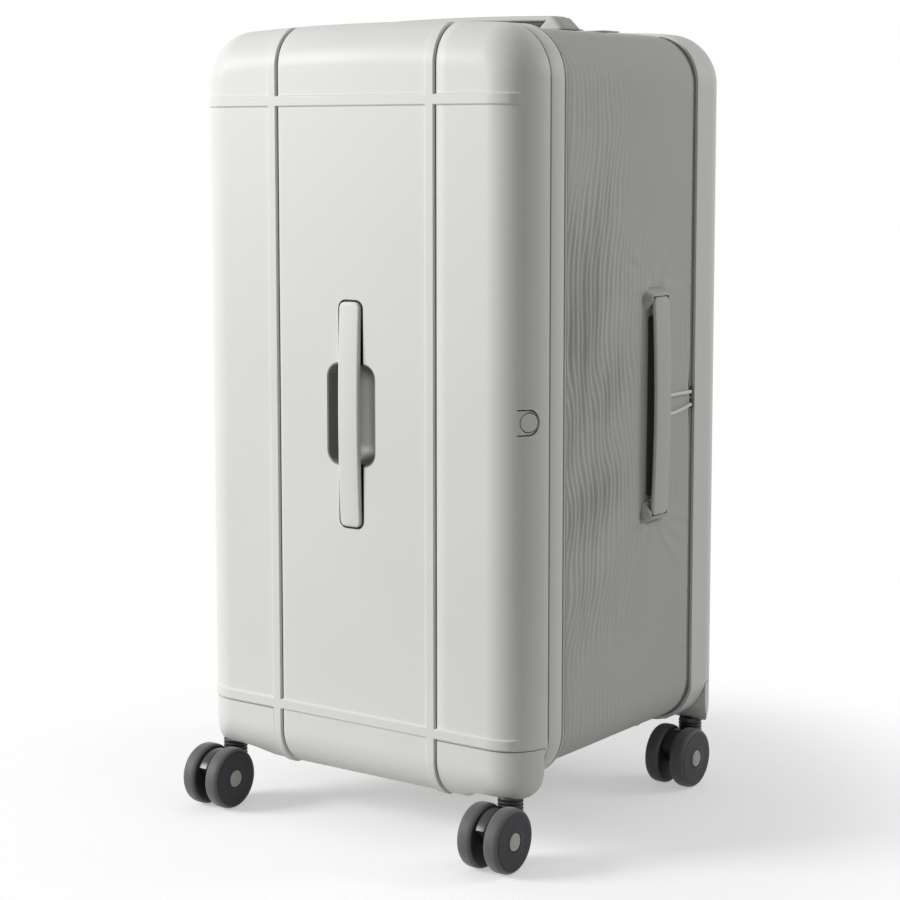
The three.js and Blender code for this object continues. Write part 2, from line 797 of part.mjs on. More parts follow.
function doorLeaf() {
  const skin = cut(
    shellForm(bodyOutline, seat + leafThick, doorDepth),
    shellForm(bodyOutline, seat, doorDepth + overrun),
  );
  const patch = box(
    [-caseWidth, -cornerRadius],
    [doorDepth - leafWide, doorDepth - seamGap],
    around(hingeHeight, hingeLong - knuckleGap),
  );
  const leaf = cut(skin.intersect(patch), knuckleRoom(1));
  return cut(join(leaf, knuckles(0, -knuckleGap / 2, knuckleRadius)), pinRoom);
}

function frameLeaf() {
  const plate = box(
    [-halfWidth - seat - leafThick, -halfWidth - seat],
    [doorDepth + seamGap, doorDepth + leafWide],
    around(hingeHeight, hingeLong - knuckleGap),
  );
  const leaf = cut(plate, knuckleRoom(0));
  return cut(join(leaf, knuckles(1, -knuckleGap / 2, knuckleRadius)), pinRoom);
}

function hingePin() {
  const end = hingeLong / 2 + seat;
  const head = (low) => rod([hingeX, doorDepth], [low, low + pinHeadTall], pinHead);
  return join(
    rod([hingeX, doorDepth], around(hingeHeight, 2 * end), pinRadius),
    head(hingeHeight + end),
    head(hingeHeight - end - pinHeadTall),
  );
}

// A board inside the case that fills its outline but for an inset.
const board = (inset, y) =>
  block(bodyOutline, [
    [y, inset],
    [y + liningThick, inset],
  ]);

// The telescopic handle's pieces
const trolleyY = caseDepth - trolleyDepth;
const wellTop = caseTop + topCrown + wellLip;
const wellBottom = wellTop - wellTall;
const tubeFoot = chinBottom + shellWall + seat;
const tubeTop = wellBottom - seat;

// A tube upright in the handle's plane, and its bore, which is open at the top.
const tubeBlock = (x, [wide, deep], reach) => box(around(x, wide), around(trolleyY, deep), reach);
const tubeBore = (x, [wide, deep], [foot, top]) =>
  tubeBlock(x, [wide - 2 * tubeWall, deep - 2 * tubeWall], [foot + tubeWall, top + overrun]);

function trolleyOuter() {
  const reach = [tubeFoot, tubeTop];
  const bracketWide = 2 * (tubeSpread + bracketLap) + outerTube[0];
  const bracket = tubeBlock(0, [bracketWide, outerTube[1]], [tubeFoot, tubeFoot + bracketTall]);
  const sides = [-tubeSpread, tubeSpread];
  const tubes = sides.map((x) => tubeBlock(x, outerTube, reach));
  const bores = sides.map((x) => tubeBore(x, outerTube, reach));
  return cut(join(bracket, ...tubes), ...bores);
}

const middleFoot = tubeFoot + tubeWall + stageFloor;
const middleTop = tubeTop + stageStep + wellWall;
const innerFoot = middleFoot + tubeWall + stageFloor;
const gripBottom = wellTop - trolleyGripTall;

function trolleyWell() {
  const shape = (grow) => roundedShape(wellWide + 2 * grow, wellDeep + 2 * grow, trolleyGripRound + grow);
  const outer = pad(shape(0), [wellBottom, wellTop], [0, trolleyY]);
  const lip = pad(shape(wellFlange), [caseTop + topCrown + seat, wellTop], [0, trolleyY]);
  const room = pad(shape(-wellWall), [wellBottom + wellWall, wellTop + overrun], [0, trolleyY]);
  const holes = [-1, 1].map((side) =>
    box(
      around(side * tubeSpread, middleTube[0] + 2 * seamGap),
      around(trolleyY, middleTube[1] + 2 * seamGap),
      [wellBottom - overrun, wellTop],
    ),
  );
  return cut(join(outer, lip), room, ...holes);
}

function trolleyGrip() {
  const shape = roundedShape(trolleyGripWide, trolleyGripDeep, trolleyGripRound);
  const body = pad(shape, [gripBottom, wellTop], [0, trolleyY]);
  const socket = box(
    around(0, pushWide + 2 * bearingClearance),
    around(trolleyY, pushDeep + 2 * bearingClearance),
    [wellTop - pushTall - pushTravel, wellTop + overrun],
  );
  return cut(body, socket);
}

// Build every piece.
const doorEnd = doorDepth - seamGap / 2;
const frameStart = doorDepth + seamGap / 2;
const frameEnd = doorDepth + frameDepth;
const backStart = caseDepth - backShellDepth;
const seamZip = backStart - seat - zipHalf;

const doorShell = cut(
  hardShell(doorEnd),
  cupSolid(cupWall + seat, -overrun, seat),
  bezelBlock(seat).intersect(box([0, caseWidth], [-caseDepth, caseDepth], [0, caseTop])),
);
addPiece("front_door_shell", doorShell, "shell");
addPiece("front_left_corner_housing", cornerHousing(-1), "shell");
addPiece("front_right_corner_housing", cornerHousing(1), "shell");
addPiece("front_grip_cup", gripCup(), "cup");
const frontGrip = gripBar(frontGripRise, frontGripBow, -channelDepth - cupWall);
addPiece("front_grip", moved(frontGrip, frontGripPlace), "grip");
addPiece("latch_bezel", latchBezel(), "shell");
addPiece("latch_button", latchButton(), "grip");
addPiece("latch_case", latchCase(), "dark");
const boltReach = [caseX[0] + caseWall + boltRoomBehind, boltEnd];
addPiece("latch_bolt", box(boltReach, around(boltY, boltDeep), around(boltHeight, boltTall)), "metal");
addPiece("latch_striker", latchStriker(), "metal");

const strikerRoom = box(
  [strikerX[0] - overrun, halfWidth],
  [0, doorDepth],
  around(boltHeight, boltTall + 4 * strikerMargin + overrun),
);
addPiece("door_lining", cut(board(shellWall + seat, doorEnd - liningThick), strikerRoom), "lining");

addPiece(
  "frame",
  ring(bodyOutline, [
    [frameStart, 0],
    [frameEnd, 0],
    [frameEnd, frameWall + frameFlange],
    [frameEnd - flangeThick, frameWall + frameFlange],
    [frameEnd - flangeThick, frameWall],
    [frameStart, frameWall],
  ]),
  "shell",
);
const dividerY = frameEnd - flangeThick - seat - liningThick;
addPiece("compartment_divider", board(frameWall + seat, dividerY), "lining");
const pipingStart = frameEnd + seat;
addPiece(
  "front_piping",
  ring(bodyOutline, [
    [pipingStart, pipingInset + pipingWidth / 3],
    [pipingStart + pipingWidth / 3, pipingInset],
    [pipingStart + (2 * pipingWidth) / 3, pipingInset],
    [pipingStart + pipingWidth, pipingInset + pipingWidth / 3],
    [pipingStart + pipingWidth, gussetInset + gussetPinch + gussetWall],
    [pipingStart, gussetInset + gussetPinch + gussetWall],
  ]),
  "grip",
);

const gussetOutline = { ...bodyOutline, half: gussetSide, low: gussetBottom, high: gussetTop };
const gussetStart = pipingStart + pipingWidth + seat;
const gussetEnd = seamZip - seat - zipHalf;
const gusset = ring(gussetOutline, [
  [gussetStart, gussetPinch],
  [gussetStart + gussetRise / 3, gussetPinch / 3],
  [gussetStart + gussetRise, 0],
  [gussetEnd - gussetRise, 0],
  [gussetEnd - gussetRise / 3, gussetPinch / 3],
  [gussetEnd, gussetPinch],
  [gussetEnd, gussetPinch + gussetWall],
  [gussetStart, gussetPinch + gussetWall],
]);
const slots = legSlots(-gussetPinch - gussetWall - overrun, overrun);
addPiece("fabric_gusset", cut(gusset, moved(slots, sideGripPlace), moved(slots, topGripPlace)), "fabric");

const zipRing = (start) =>
  ring(gussetOutline, [
    [start, zipInset],
    [start + zipHalf - seat, zipInset],
    [start + zipHalf - seat, zipInset + zipThick],
    [start, zipInset + zipThick],
  ]);
addPiece("gusset_zip", zipRing(seamZip - zipHalf), "dark");
addPiece("back_shell_zip", zipRing(seamZip), "dark");

const gussetUnderside = -gussetPinch - gussetWall;
const sideGrip = gripBar(sideGripRise, sideGripBow, gussetUnderside);
const topGrip = gripBar(topGripRise, topGripBow, gussetUnderside - topCrown / 2);
const farEnd = (solid) => moved(solid, turnAround);
addPiece("side_grip", moved(sideGrip, sideGripPlace), "grip");
addPiece("side_grip_upper_mount", moved(gripMount(sideGripRise), sideGripPlace), "fabric");
addPiece("side_grip_lower_mount", moved(farEnd(gripMount(sideGripRise)), sideGripPlace), "fabric");
addPiece("top_grip", moved(topGrip, topGripPlace), "grip");
addPiece("top_grip_right_mount", moved(gripMount(topGripRise), topGripPlace), "fabric");
addPiece("top_grip_left_mount", moved(farEnd(gripMount(topGripRise)), topGripPlace), "fabric");

addPiece("door_hinge_leaf", doorLeaf(), "metal");
addPiece("frame_hinge_leaf", frameLeaf(), "metal");
addPiece("hinge_pin", hingePin(), "metal");

const wellHole = pad(
  roundedShape(wellWide + 2 * seat, wellDeep + 2 * seat, trolleyGripRound + seat),
  [caseTop - cornerRadius, wellTop + overrun],
  [0, trolleyY],
);
addPiece("back_shell", moved(cut(hardShell(backShellDepth), moved(wellHole, toBack)), toBack), "shell");
addPiece("back_right_corner_housing", moved(cornerHousing(-1), toBack), "shell");
addPiece("back_left_corner_housing", moved(cornerHousing(1), toBack), "shell");
addPiece("back_lining", board(shellWall + seat, backStart + seat), "lining");
addPiece("trolley_well", trolleyWell(), "dark");
addPiece("trolley_outer_tubes", trolleyOuter(), "metal");
[["left", -tubeSpread], ["right", tubeSpread]].forEach(([side, x]) => {
  const reach = [middleFoot, middleTop];
  const middleStage = cut(tubeBlock(x, middleTube, reach), tubeBore(x, middleTube, reach));
  addPiece(`trolley_${side}_middle_tube`, middleStage, "metal");
  addPiece(`trolley_${side}_inner_tube`, tubeBlock(x, innerTube, [innerFoot, gripBottom - seat]), "metal");
});
addPiece("trolley_grip", trolleyGrip(), "dark");
const pushTop = wellTop + pushProud;
const pushShape = roundedShape(pushWide, pushDeep, pushDeep / 4);
addPiece("trolley_push_button", pad(pushShape, [pushTop - pushTall, pushTop], [0, trolleyY]), "dark");

// A slider over both halves of the zip, and its cord pull running forward over the fabric.
const zipX = gussetSide - zipInset;
const sliderX = [zipX + seat, zipX + seat + sliderOut];
const pullX = gussetSide + seat + pullRadius;

function zipPull(z, drop) {
  const start = seamZip - zipHalf - pullRadius;
  const sections = Array.from({ length: pullSteps + 1 }, (_, step) => {
    const share = step / pullSteps;
    const sag = drop * Math.sin((share * Math.PI) / 2);
    return Array.from({ length: pullSides }, (_, side) => {
      const angle = (2 * Math.PI * side) / pullSides;
      return [
        pullX + pullRadius * Math.cos(angle),
        start - pullLong * share,
        z - sag + pullRadius * Math.sin(angle),
      ];
    });
  });
  return loft(sections, false);
}

["upper", "lower"].forEach((level, which) => {
  const z = sliderHeights[which];
  const slider = box(sliderX, around(seamZip, 2 * zipHalf), around(z, sliderTall));
  addPiece(`${level}_zip_slider`, slider, "dark");
  addPiece(`${level}_zip_pull`, zipPull(z, which * pullSpread), "cap");
});

const frontSwivelY = casterInsetY;
const backSwivelY = caseDepth - casterInsetY;
const swivelX = halfWidth - casterInsetX;
addCaster("front_left_caster", -swivelX, frontSwivelY);
addCaster("front_right_caster", swivelX, frontSwivelY);
addCaster("back_left_caster", -swivelX, backSwivelY);
addCaster("back_right_caster", swivelX, backSwivelY);

// Stand the case on the floor with the middle of its outer box over the origin.
const middle = new THREE.Box3().setFromObject(group).getCenter(new THREE.Vector3());
group.position.set(-middle.x, -middle.y, 0);

export default group;
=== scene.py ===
# %% [markdown]
# A tall trunk suitcase on four twin-wheel casters. Its front shell is a door with a push-button
# latch, its back shell zips to a padded fabric gusset, and grips lie in the front, the side and the
# top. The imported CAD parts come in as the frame. Every visible surface is then made again, with
# rounder forms and real finishes, and each new piece rides on the CAD body that it belongs to.

# %% Load the frame
import math

import bmesh
import bpy
import numpy as np
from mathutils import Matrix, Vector


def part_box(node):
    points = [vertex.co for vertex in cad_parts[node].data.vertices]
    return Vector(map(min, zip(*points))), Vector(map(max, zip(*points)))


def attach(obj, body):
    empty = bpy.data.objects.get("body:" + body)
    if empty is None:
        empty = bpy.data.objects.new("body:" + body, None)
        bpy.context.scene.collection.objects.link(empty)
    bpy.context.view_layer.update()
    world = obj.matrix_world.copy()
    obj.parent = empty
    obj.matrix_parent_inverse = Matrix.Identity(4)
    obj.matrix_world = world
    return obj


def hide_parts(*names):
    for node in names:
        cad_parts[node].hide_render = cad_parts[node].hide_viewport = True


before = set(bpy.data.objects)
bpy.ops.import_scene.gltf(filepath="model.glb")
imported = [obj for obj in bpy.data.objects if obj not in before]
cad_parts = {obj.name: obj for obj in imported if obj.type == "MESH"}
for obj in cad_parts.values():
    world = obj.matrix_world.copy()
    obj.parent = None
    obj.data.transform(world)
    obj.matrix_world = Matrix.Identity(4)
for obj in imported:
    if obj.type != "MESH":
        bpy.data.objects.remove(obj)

scene = bpy.context.scene
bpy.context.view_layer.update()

# %% [markdown]
# Sizes are easier to think about from the suitcase's own middle: x from its centre line, y back from
# its front face and z up from the floor. The frame puts the origin elsewhere, so one shift, read from
# the frame's own boxes, carries every point over. A size taken from the frame can't drift from it.

# %% Case coordinates
frame_low, frame_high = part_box("frame")
housing_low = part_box("front_left_corner_housing")[0]
ORIGIN = np.array([(frame_low.x + frame_high.x) / 2, housing_low.y, 0.0])
HALF = (frame_high.x - frame_low.x) / 2
DEPTH = 0.364
print("middle and front face at", ORIGIN.round(5), "half width", round(HALF, 4))

# %% [markdown]
# A product photograph is taken with a long lens from a little above, so that upright edges stay
# almost parallel. The camera stands at the front right, 36 degrees round. A small shift, like a
# view camera's rising front, centres the case without tilting the picture.

# %% Camera
azimuth = math.radians(35.77)
tilt = math.radians(6.39)
camera = bpy.data.objects.new("camera", bpy.data.cameras.new("camera"))
scene.collection.objects.link(camera)
scene.camera = camera
level_part = math.cos(tilt)
forward = Vector((-math.sin(azimuth) * level_part, math.cos(azimuth) * level_part, -math.sin(tilt)))
camera.location = (1.2371, -1.7117, 0.6480)
camera.rotation_mode = "QUATERNION"
camera.rotation_quaternion = forward.to_track_quat("-Z", "Y")
camera.data.lens = 86.88
camera.data.sensor_width = 36
camera.data.shift_x = -0.0134
camera.data.shift_y = -0.075
scene.view_settings.view_transform = "Standard"
print("camera at", tuple(camera.location))

# %% [markdown]
# Shader trees get long when each node takes four lines, so small helpers come first. One makes a node
# and fills its inputs with values or links, and one does sums. The last tells where white is seen: by
# the camera, in reflections and through clear things.

# %% Shader node helpers
def add_node(tree, kind, inputs=None, **settings):
    node = tree.nodes.new(kind)
    for key, value in settings.items():
        setattr(node, key, value)
    for key, value in (inputs or {}).items():
        if isinstance(value, bpy.types.NodeSocket):
            tree.links.new(value, node.inputs[key])
        else:
            node.inputs[key].default_value = value
    return node


def maths(tree, how, *values):
    return add_node(tree, "ShaderNodeMath", dict(enumerate(values)), operation=how).outputs[0]


def sees_background(tree):
    path = add_node(tree, "ShaderNodeLightPath").outputs
    either = maths(tree, "MAXIMUM", path["Is Camera Ray"], path["Is Glossy Ray"])
    return maths(tree, "MAXIMUM", either, path["Is Transmission Ray"])


WHITE = (1, 1, 1, 1)
print("shader helpers are ready, white is", WHITE)

# %% [markdown]
# Most of the light comes from a pale room. The room is the world: it gives the fill, and it shows as
# plain white to the camera and in reflections. It is darker toward the front right, as if a black card
# stood there, so the rounded edge between the two faces turns dark early.

# %% World
ROOM_LIGHT, CARD_SHADE = 0.40, 0.3
CARD_WAY, CARD_EDGE = (0.56, -0.83, 0.0), 0.4


def studio_world():
    world = bpy.data.worlds.new("studio")
    world.use_nodes = True
    tree = world.node_tree
    tree.nodes.clear()
    way = add_node(tree, "ShaderNodeTexCoord").outputs["Generated"]
    toward_card = add_node(tree, "ShaderNodeVectorMath", {0: way, 1: CARD_WAY}, operation="DOT_PRODUCT")
    level = add_node(tree, "ShaderNodeMapRange", {
        "Value": toward_card.outputs["Value"], "From Min": CARD_EDGE, "From Max": 1.0,
        "To Min": ROOM_LIGHT, "To Max": ROOM_LIGHT * CARD_SHADE})
    fill = add_node(tree, "ShaderNodeBackground", {"Color": WHITE, "Strength": level.outputs[0]})
    white = add_node(tree, "ShaderNodeBackground", {"Color": WHITE, "Strength": 1.0})
    room = add_node(tree, "ShaderNodeMixShader",
                    {0: sees_background(tree), 1: fill.outputs[0], 2: white.outputs[0]})
    add_node(tree, "ShaderNodeOutputWorld", {"Surface": room.outputs[0]})
    return world


scene.world = studio_world()
print("room light", ROOM_LIGHT, "and", round(ROOM_LIGHT * CARD_SHADE, 3), "toward the card")

# %% [markdown]
# One big soft lamp stands at the left in front. A weak one from behind on the right grazes the fabric
# side, so that its small ripples show. Both are square sheets of light, like a studio's softboxes.

# %% Lamps
def soft_lamp(name, spot, target, wide, power):
    light = bpy.data.lights.new(name, "AREA")
    light.shape = "SQUARE"
    light.size = wide
    light.energy = power
    lamp = bpy.data.objects.new(name, light)
    scene.collection.objects.link(lamp)
    lamp.location = spot
    lamp.rotation_mode = "QUATERNION"
    lamp.rotation_quaternion = (Vector(target) - Vector(spot)).to_track_quat("-Z", "Y")
    print(name, wide, "m wide,", power, "W")


soft_lamp("key_lamp", (-2.22, -2.36, 1.6), (0.0, 0.0, 0.45), wide=1.3, power=101)
soft_lamp("side_lamp", (1.9, 1.7, 1.5), (0.19, 0.1, 0.4), wide=0.7, power=13)

# %% [markdown]
# The case has to stand on something, or it seems to float. A pale round floor catches its soft shadow
# and fades into the white room before its own edge could show, because its transparency grows with the
# distance from the middle.

# %% Floor
FLOOR_RADIUS, FLOOR_DROP = 0.7, 0.0002
SOLID_TO, GONE_FROM = 0.30, 0.62
FLOOR_GREY, FLOOR_LIFT = (0.66, 0.66, 0.66, 1), 0.42


def floor_material():
    material = bpy.data.materials.new("studio_floor")
    material.use_nodes = True
    tree = material.node_tree
    tree.nodes.clear()
    spot = add_node(tree, "ShaderNodeTexCoord").outputs["Object"]
    reach = add_node(tree, "ShaderNodeVectorMath", {0: spot}, operation="LENGTH")
    solid = add_node(tree, "ShaderNodeMapRange", {
        "Value": reach.outputs["Value"], "From Min": SOLID_TO, "From Max": GONE_FROM,
        "To Min": 1.0, "To Max": 0.0}, interpolation_type="SMOOTHSTEP")
    matt = add_node(tree, "ShaderNodeBsdfDiffuse", {"Color": FLOOR_GREY}).outputs[0]
    lift = add_node(tree, "ShaderNodeEmission", {"Color": WHITE, "Strength": FLOOR_LIFT})
    both = add_node(tree, "ShaderNodeAddShader", {0: matt, 1: lift.outputs[0]})
    seen = add_node(tree, "ShaderNodeMixShader",
                    {0: sees_background(tree), 1: matt, 2: both.outputs[0]})
    clear = add_node(tree, "ShaderNodeBsdfTransparent")
    faded = add_node(tree, "ShaderNodeMixShader",
                     {0: solid.outputs[0], 1: clear.outputs[0], 2: seen.outputs[0]})
    add_node(tree, "ShaderNodeOutputMaterial", {"Surface": faded.outputs[0]})
    return material


bpy.ops.mesh.primitive_circle_add(
    vertices=96, radius=FLOOR_RADIUS, fill_type="NGON", location=(0, 0, -FLOOR_DROP))
floor = bpy.context.object
floor.name = "floor"
floor.data.transform(floor.matrix_basis)
floor.location = (0, 0, 0)
floor.data.materials.append(floor_material())
print("floor radius", FLOOR_RADIUS)

# %% [markdown]
# Every finish is a node group with the same three results: a colour, a roughness and a height for the
# fine relief. So two helpers serve them all: one makes such a group, and one makes a material that
# feeds the group's results to the standard shader.

# %% Groups and materials
def new_group(name, inputs):
    group = bpy.data.node_groups.new(name, "ShaderNodeTree")
    for label, kind, value in inputs:
        socket = group.interface.new_socket(label, in_out="INPUT", socket_type="NodeSocket" + kind)
        if value is not None:
            socket.default_value = value
    for label, kind in (("Colour", "Color"), ("Roughness", "Float"), ("Height", "Float")):
        group.interface.new_socket(label, in_out="OUTPUT", socket_type="NodeSocket" + kind)
    return group, add_node(group, "NodeGroupInput").outputs, add_node(group, "NodeGroupOutput").inputs


def give_results(group, results, colour, shade, roughness, height):
    tint = add_node(group, "ShaderNodeVectorMath", {0: colour, "Scale": shade}, operation="SCALE")
    for label, socket in (("Colour", tint.outputs[0]), ("Roughness", roughness), ("Height", height)):
        group.links.new(socket, results[label])
    return group


def finish_material(name, group, values, relief, looks, cloth=False):
    material = bpy.data.materials.new(name)
    material.use_nodes = True
    tree = material.node_tree
    shader = tree.nodes["Principled BSDF"].inputs
    surface = add_node(tree, "ShaderNodeGroup", values, node_tree=group)
    if cloth:
        threads = add_node(tree, "ShaderNodeUVMap", uv_map="cloth")
        tree.links.new(threads.outputs["UV"], surface.inputs["Vector"])
    strength, deep = relief
    raised = add_node(tree, "ShaderNodeBump",
                      {"Strength": strength, "Distance": deep, "Height": surface.outputs["Height"]})
    tree.links.new(surface.outputs["Colour"], shader["Base Color"])
    tree.links.new(surface.outputs["Roughness"], shader["Roughness"])
    tree.links.new(raised.outputs["Normal"], shader["Normal"])
    for label, value in looks.items():
        shader[label].default_value = value
    return material


print("group and material helpers are ready")

# %% [markdown]
# Plastics look alive through three small things: a colour that drifts a little, a gloss that drifts
# with it and a fine grain. One node group holds all three, so that every moulded finish shares it and
# differs only in its numbers.

# %% Group for moulded surfaces
def moulded_group():
    group, given, results = new_group("moulded_surface", [
        ("Colour", "Color", None), ("Grain per metre", "Float", 1400.0), ("Drift", "Float", 0.05),
        ("Roughness", "Float", 0.45)])
    spot = add_node(group, "ShaderNodeTexCoord").outputs["Object"]
    broad = add_node(group, "ShaderNodeTexNoise", {"Vector": spot, "Scale": 7.0, "Detail": 3.0})
    grain = add_node(group, "ShaderNodeTexNoise",
                     {"Vector": spot, "Scale": given["Grain per metre"], "Detail": 2.0})
    spread = {"Value": broad.outputs["Fac"], "From Min": 0.3, "From Max": 0.7}
    low = maths(group, "SUBTRACT", 1.0, given["Drift"])
    shade = add_node(group, "ShaderNodeMapRange", {**spread, "To Min": low, "To Max": 1.0})
    wear = add_node(group, "ShaderNodeMapRange", {**spread, "To Min": -0.05, "To Max": 0.05})
    gloss = maths(group, "ADD", given["Roughness"], wear.outputs[0])
    return give_results(group, results, given["Colour"], shade.outputs[0], gloss, grain.outputs["Fac"])


MOULDED = moulded_group()
GRAIN_DEPTH = 0.0004
print("moulded finishes share the group", MOULDED.name)

# %% [markdown]
# The list of finishes is the list of what such a case is made of: satin shells, covered grips, black
# nylon, soft treads, pale caps, steel and anodised tube. The metals use the same group, because a
# brushed face has a grain too.

# %% Moulded and metal finishes
def moulded(name, colour, roughness, grain=1400.0, bump=0.06, drift=0.05, metallic=0.0, sheen=0.0,
            shine=0.5):
    values = {"Colour": (*colour, 1), "Grain per metre": grain, "Drift": drift, "Roughness": roughness}
    looks = {"Metallic": metallic, "Sheen Weight": sheen, "Specular IOR Level": shine}
    return finish_material(name, MOULDED, values, (bump, GRAIN_DEPTH), looks)


SHELL = moulded("satin_shell", (0.745, 0.745, 0.715), 0.47, grain=1700, bump=0.05, drift=0.03,
                shine=0.4)
GRIP = moulded("covered_grip", (0.73, 0.73, 0.70), 0.5, grain=900, bump=0.12, drift=0.04)
SOFT_GRIP = moulded("soft_side_grip", (0.57, 0.575, 0.54), 0.6, grain=900, bump=0.15, drift=0.04)
CORD = moulded("pale_cord", (0.86, 0.86, 0.83), 0.55, grain=1500, bump=0.2)
CUP = moulded("grey_cup", (0.255, 0.26, 0.245), 0.5, grain=1200, bump=0.1)
DARK = moulded("black_plastic", (0.022, 0.022, 0.023), 0.38, grain=1500, bump=0.08)
COVER = moulded("glossy_black", (0.03, 0.03, 0.031), 0.3, grain=600, bump=0.0)
TYRE = moulded("soft_tread", (0.085, 0.085, 0.088), 0.6, grain=1100, bump=0.15, sheen=0.3)
WHEEL = moulded("wheel_disc", (0.036, 0.037, 0.042), 0.42, grain=1300, shine=0.25)
# shaded_groove is painted shade, a darker colour for the door's rib grooves, not a material of the
# case.
GROOVE_SHADE = moulded("shaded_groove", (0.20, 0.20, 0.195), 0.6, grain=1700, shine=0.2)
CAP = moulded("pale_cap", (0.47, 0.48, 0.44), 0.36, grain=1500, bump=0.05)
TAPE = moulded("zip_tape", (0.50, 0.505, 0.48), 0.7, grain=2200, bump=0.3, shine=0.2)
STEEL = moulded("brushed_steel", (0.46, 0.47, 0.48), 0.34, grain=2600, bump=0.12, metallic=1.0)
TUBE = moulded("anodised_tube", (0.42, 0.43, 0.44), 0.42, grain=2200, metallic=1.0)
print("moulded and metal finishes, the tube's last:", TUBE.name)

# %% [markdown]
# Cloth needs threads. The weave is two crossed sets of waves along the cloth's own width and length,
# which every fabric piece stores in metres as its UV map, so the threads follow the cloth round the
# corners. Sheen on the shader gives the soft light edge of fibres.

# %% Woven finishes
def weave_group():
    group, given, results = new_group("woven_cloth", [
        ("Vector", "Vector", None), ("Colour", "Color", None), ("Threads per metre", "Float", 1100.0)])
    cloth = given["Vector"]
    rate = maths(group, "MULTIPLY", given["Threads per metre"], 2 * math.pi)
    loose = add_node(group, "ShaderNodeTexNoise", {"Vector": cloth, "Scale": 260.0, "Detail": 2.0})
    bend = maths(group, "MULTIPLY", loose.outputs["Fac"], 2.4)
    axes = add_node(group, "ShaderNodeSeparateXYZ", {0: cloth}).outputs
    turns = [maths(group, "MULTIPLY_ADD", axes[axis], rate, bend) for axis in "XY"]
    crossed = maths(group, "MULTIPLY", *(maths(group, "SINE", turn) for turn in turns))
    broad = add_node(group, "ShaderNodeTexNoise", {"Vector": cloth, "Scale": 9.0, "Detail": 4.0})
    uneven = maths(group, "MULTIPLY_ADD", broad.outputs["Fac"], 0.16, 0.90)
    shade = maths(group, "MULTIPLY_ADD", crossed, 0.055, uneven)
    dull = maths(group, "MULTIPLY_ADD", broad.outputs["Fac"], 0.2, 0.72)
    return give_results(group, results, given["Colour"], shade, dull, crossed)


WEAVE = weave_group()
THREAD_DEPTH = 0.0003


def woven(name, colour, threads, bump):
    values = {"Colour": (*colour, 1), "Threads per metre": threads}
    looks = {"Sheen Weight": 0.12, "Sheen Roughness": 0.4}
    return finish_material(name, WEAVE, values, (bump, THREAD_DEPTH), looks, cloth=True)


FABRIC = woven("fine_fabric", (0.575, 0.581, 0.542), 1100.0, 0.25)
LINING = woven("plain_lining", (0.42, 0.43, 0.40), 800.0, 0.3)
# painted_shade_cloth is painted shade for the gap under the side grip, not a cloth of the case.
GRIP_GAP_SHADE = woven("painted_shade_cloth", (0.035, 0.036, 0.034), 1100.0, 0.2)
print("cloth finishes share the group", WEAVE.name)

# %% [markdown]
# Nearly every piece here is a grid of points: a sheet bent over a form, a strip run round an outline,
# a bar between two ends. The first helpers turn points and faces into a closed mesh with sharp edges
# where they belong, and dress it: a finish, the body it rides on, and the CAD nodes it stands for.

# %% Making and dressing a piece
def smooth(piece, sharp=38):
    piece.data.shade_smooth()
    piece.data.set_sharp_from_angle(angle=math.radians(sharp))


def make_piece(name, points, faces, sharp=38):
    mesh = bpy.data.meshes.new(name)
    mesh.from_pydata((np.asarray(points, float) + ORIGIN).tolist(), [], faces)
    piece = bpy.data.objects.new(name, mesh)
    scene.collection.objects.link(piece)
    smooth(piece, sharp)
    return piece


def tidy(piece, sharp=38):
    work = bmesh.new()
    work.from_mesh(piece.data)
    bmesh.ops.remove_doubles(work, verts=work.verts, dist=2e-6)
    bmesh.ops.dissolve_degenerate(work, edges=work.edges, dist=1e-6)
    bmesh.ops.recalc_face_normals(work, faces=work.faces)
    work.to_mesh(piece.data)
    work.free()
    smooth(piece, sharp)
    return piece


def dress(piece, material, body, nodes=()):
    if not piece.data.materials:
        piece.data.materials.append(material)
    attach(piece, body)
    if nodes:
        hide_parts(*nodes)
    print(piece.name, "rides on", body)
    return piece


print("a piece is made, tidied and dressed")

# %% [markdown]
# Small mouldings are often one mesh of several closed parts, and openings are easiest to say as a room
# that is taken away. So one helper joins pieces, and one cuts a piece with another and takes the
# cutter out again.

# %% Joining and cutting
def joined(name, pieces):
    work = bmesh.new()
    for piece in pieces:
        work.from_mesh(piece.data)
    mesh = bpy.data.meshes.new(name)
    work.to_mesh(mesh)
    work.free()
    for piece in pieces:
        bpy.data.objects.remove(piece)
    whole = bpy.data.objects.new(name, mesh)
    scene.collection.objects.link(whole)
    smooth(whole)
    return whole


def evaluated_mesh(piece):
    evaluated = piece.evaluated_get(bpy.context.evaluated_depsgraph_get())
    mesh = bpy.data.meshes.new_from_object(evaluated)
    piece.modifiers.clear()
    piece.data = mesh
    return mesh


def carve(piece, tool, how="DIFFERENCE", sharp=38):
    step = piece.modifiers.new("carve", "BOOLEAN")
    step.operation = how
    step.solver = "EXACT"
    step.object = tool
    evaluated_mesh(piece)
    bpy.data.objects.remove(tool)
    smooth(piece, sharp)
    return piece


print("pieces can be joined and cut")

# %% [markdown]
# A loft skins a row of equal loops, either closed by two end faces or run round into a ring. Most bars,
# pads and turned parts are lofts. A block is the plainest cutter, and a rounded loop is the section
# that mouldings have most often.

# %% Lofts, blocks and rounded loops
def loft(name, sections, endless=False, sharp=38):
    count = len(sections[0])
    bands = len(sections) if endless else len(sections) - 1
    faces = []
    for band in range(bands):
        here = band * count
        there = (band + 1) % len(sections) * count
        for i in range(count):
            j = (i + 1) % count
            faces.append((here + i, here + j, there + j, there + i))
    if not endless:
        last = (len(sections) - 1) * count
        faces.append(tuple(range(count))[::-1])
        faces.append(tuple(last + i for i in range(count)))
    points = np.concatenate([np.asarray(section, float) for section in sections])
    return tidy(make_piece(name, points, faces, sharp), sharp)


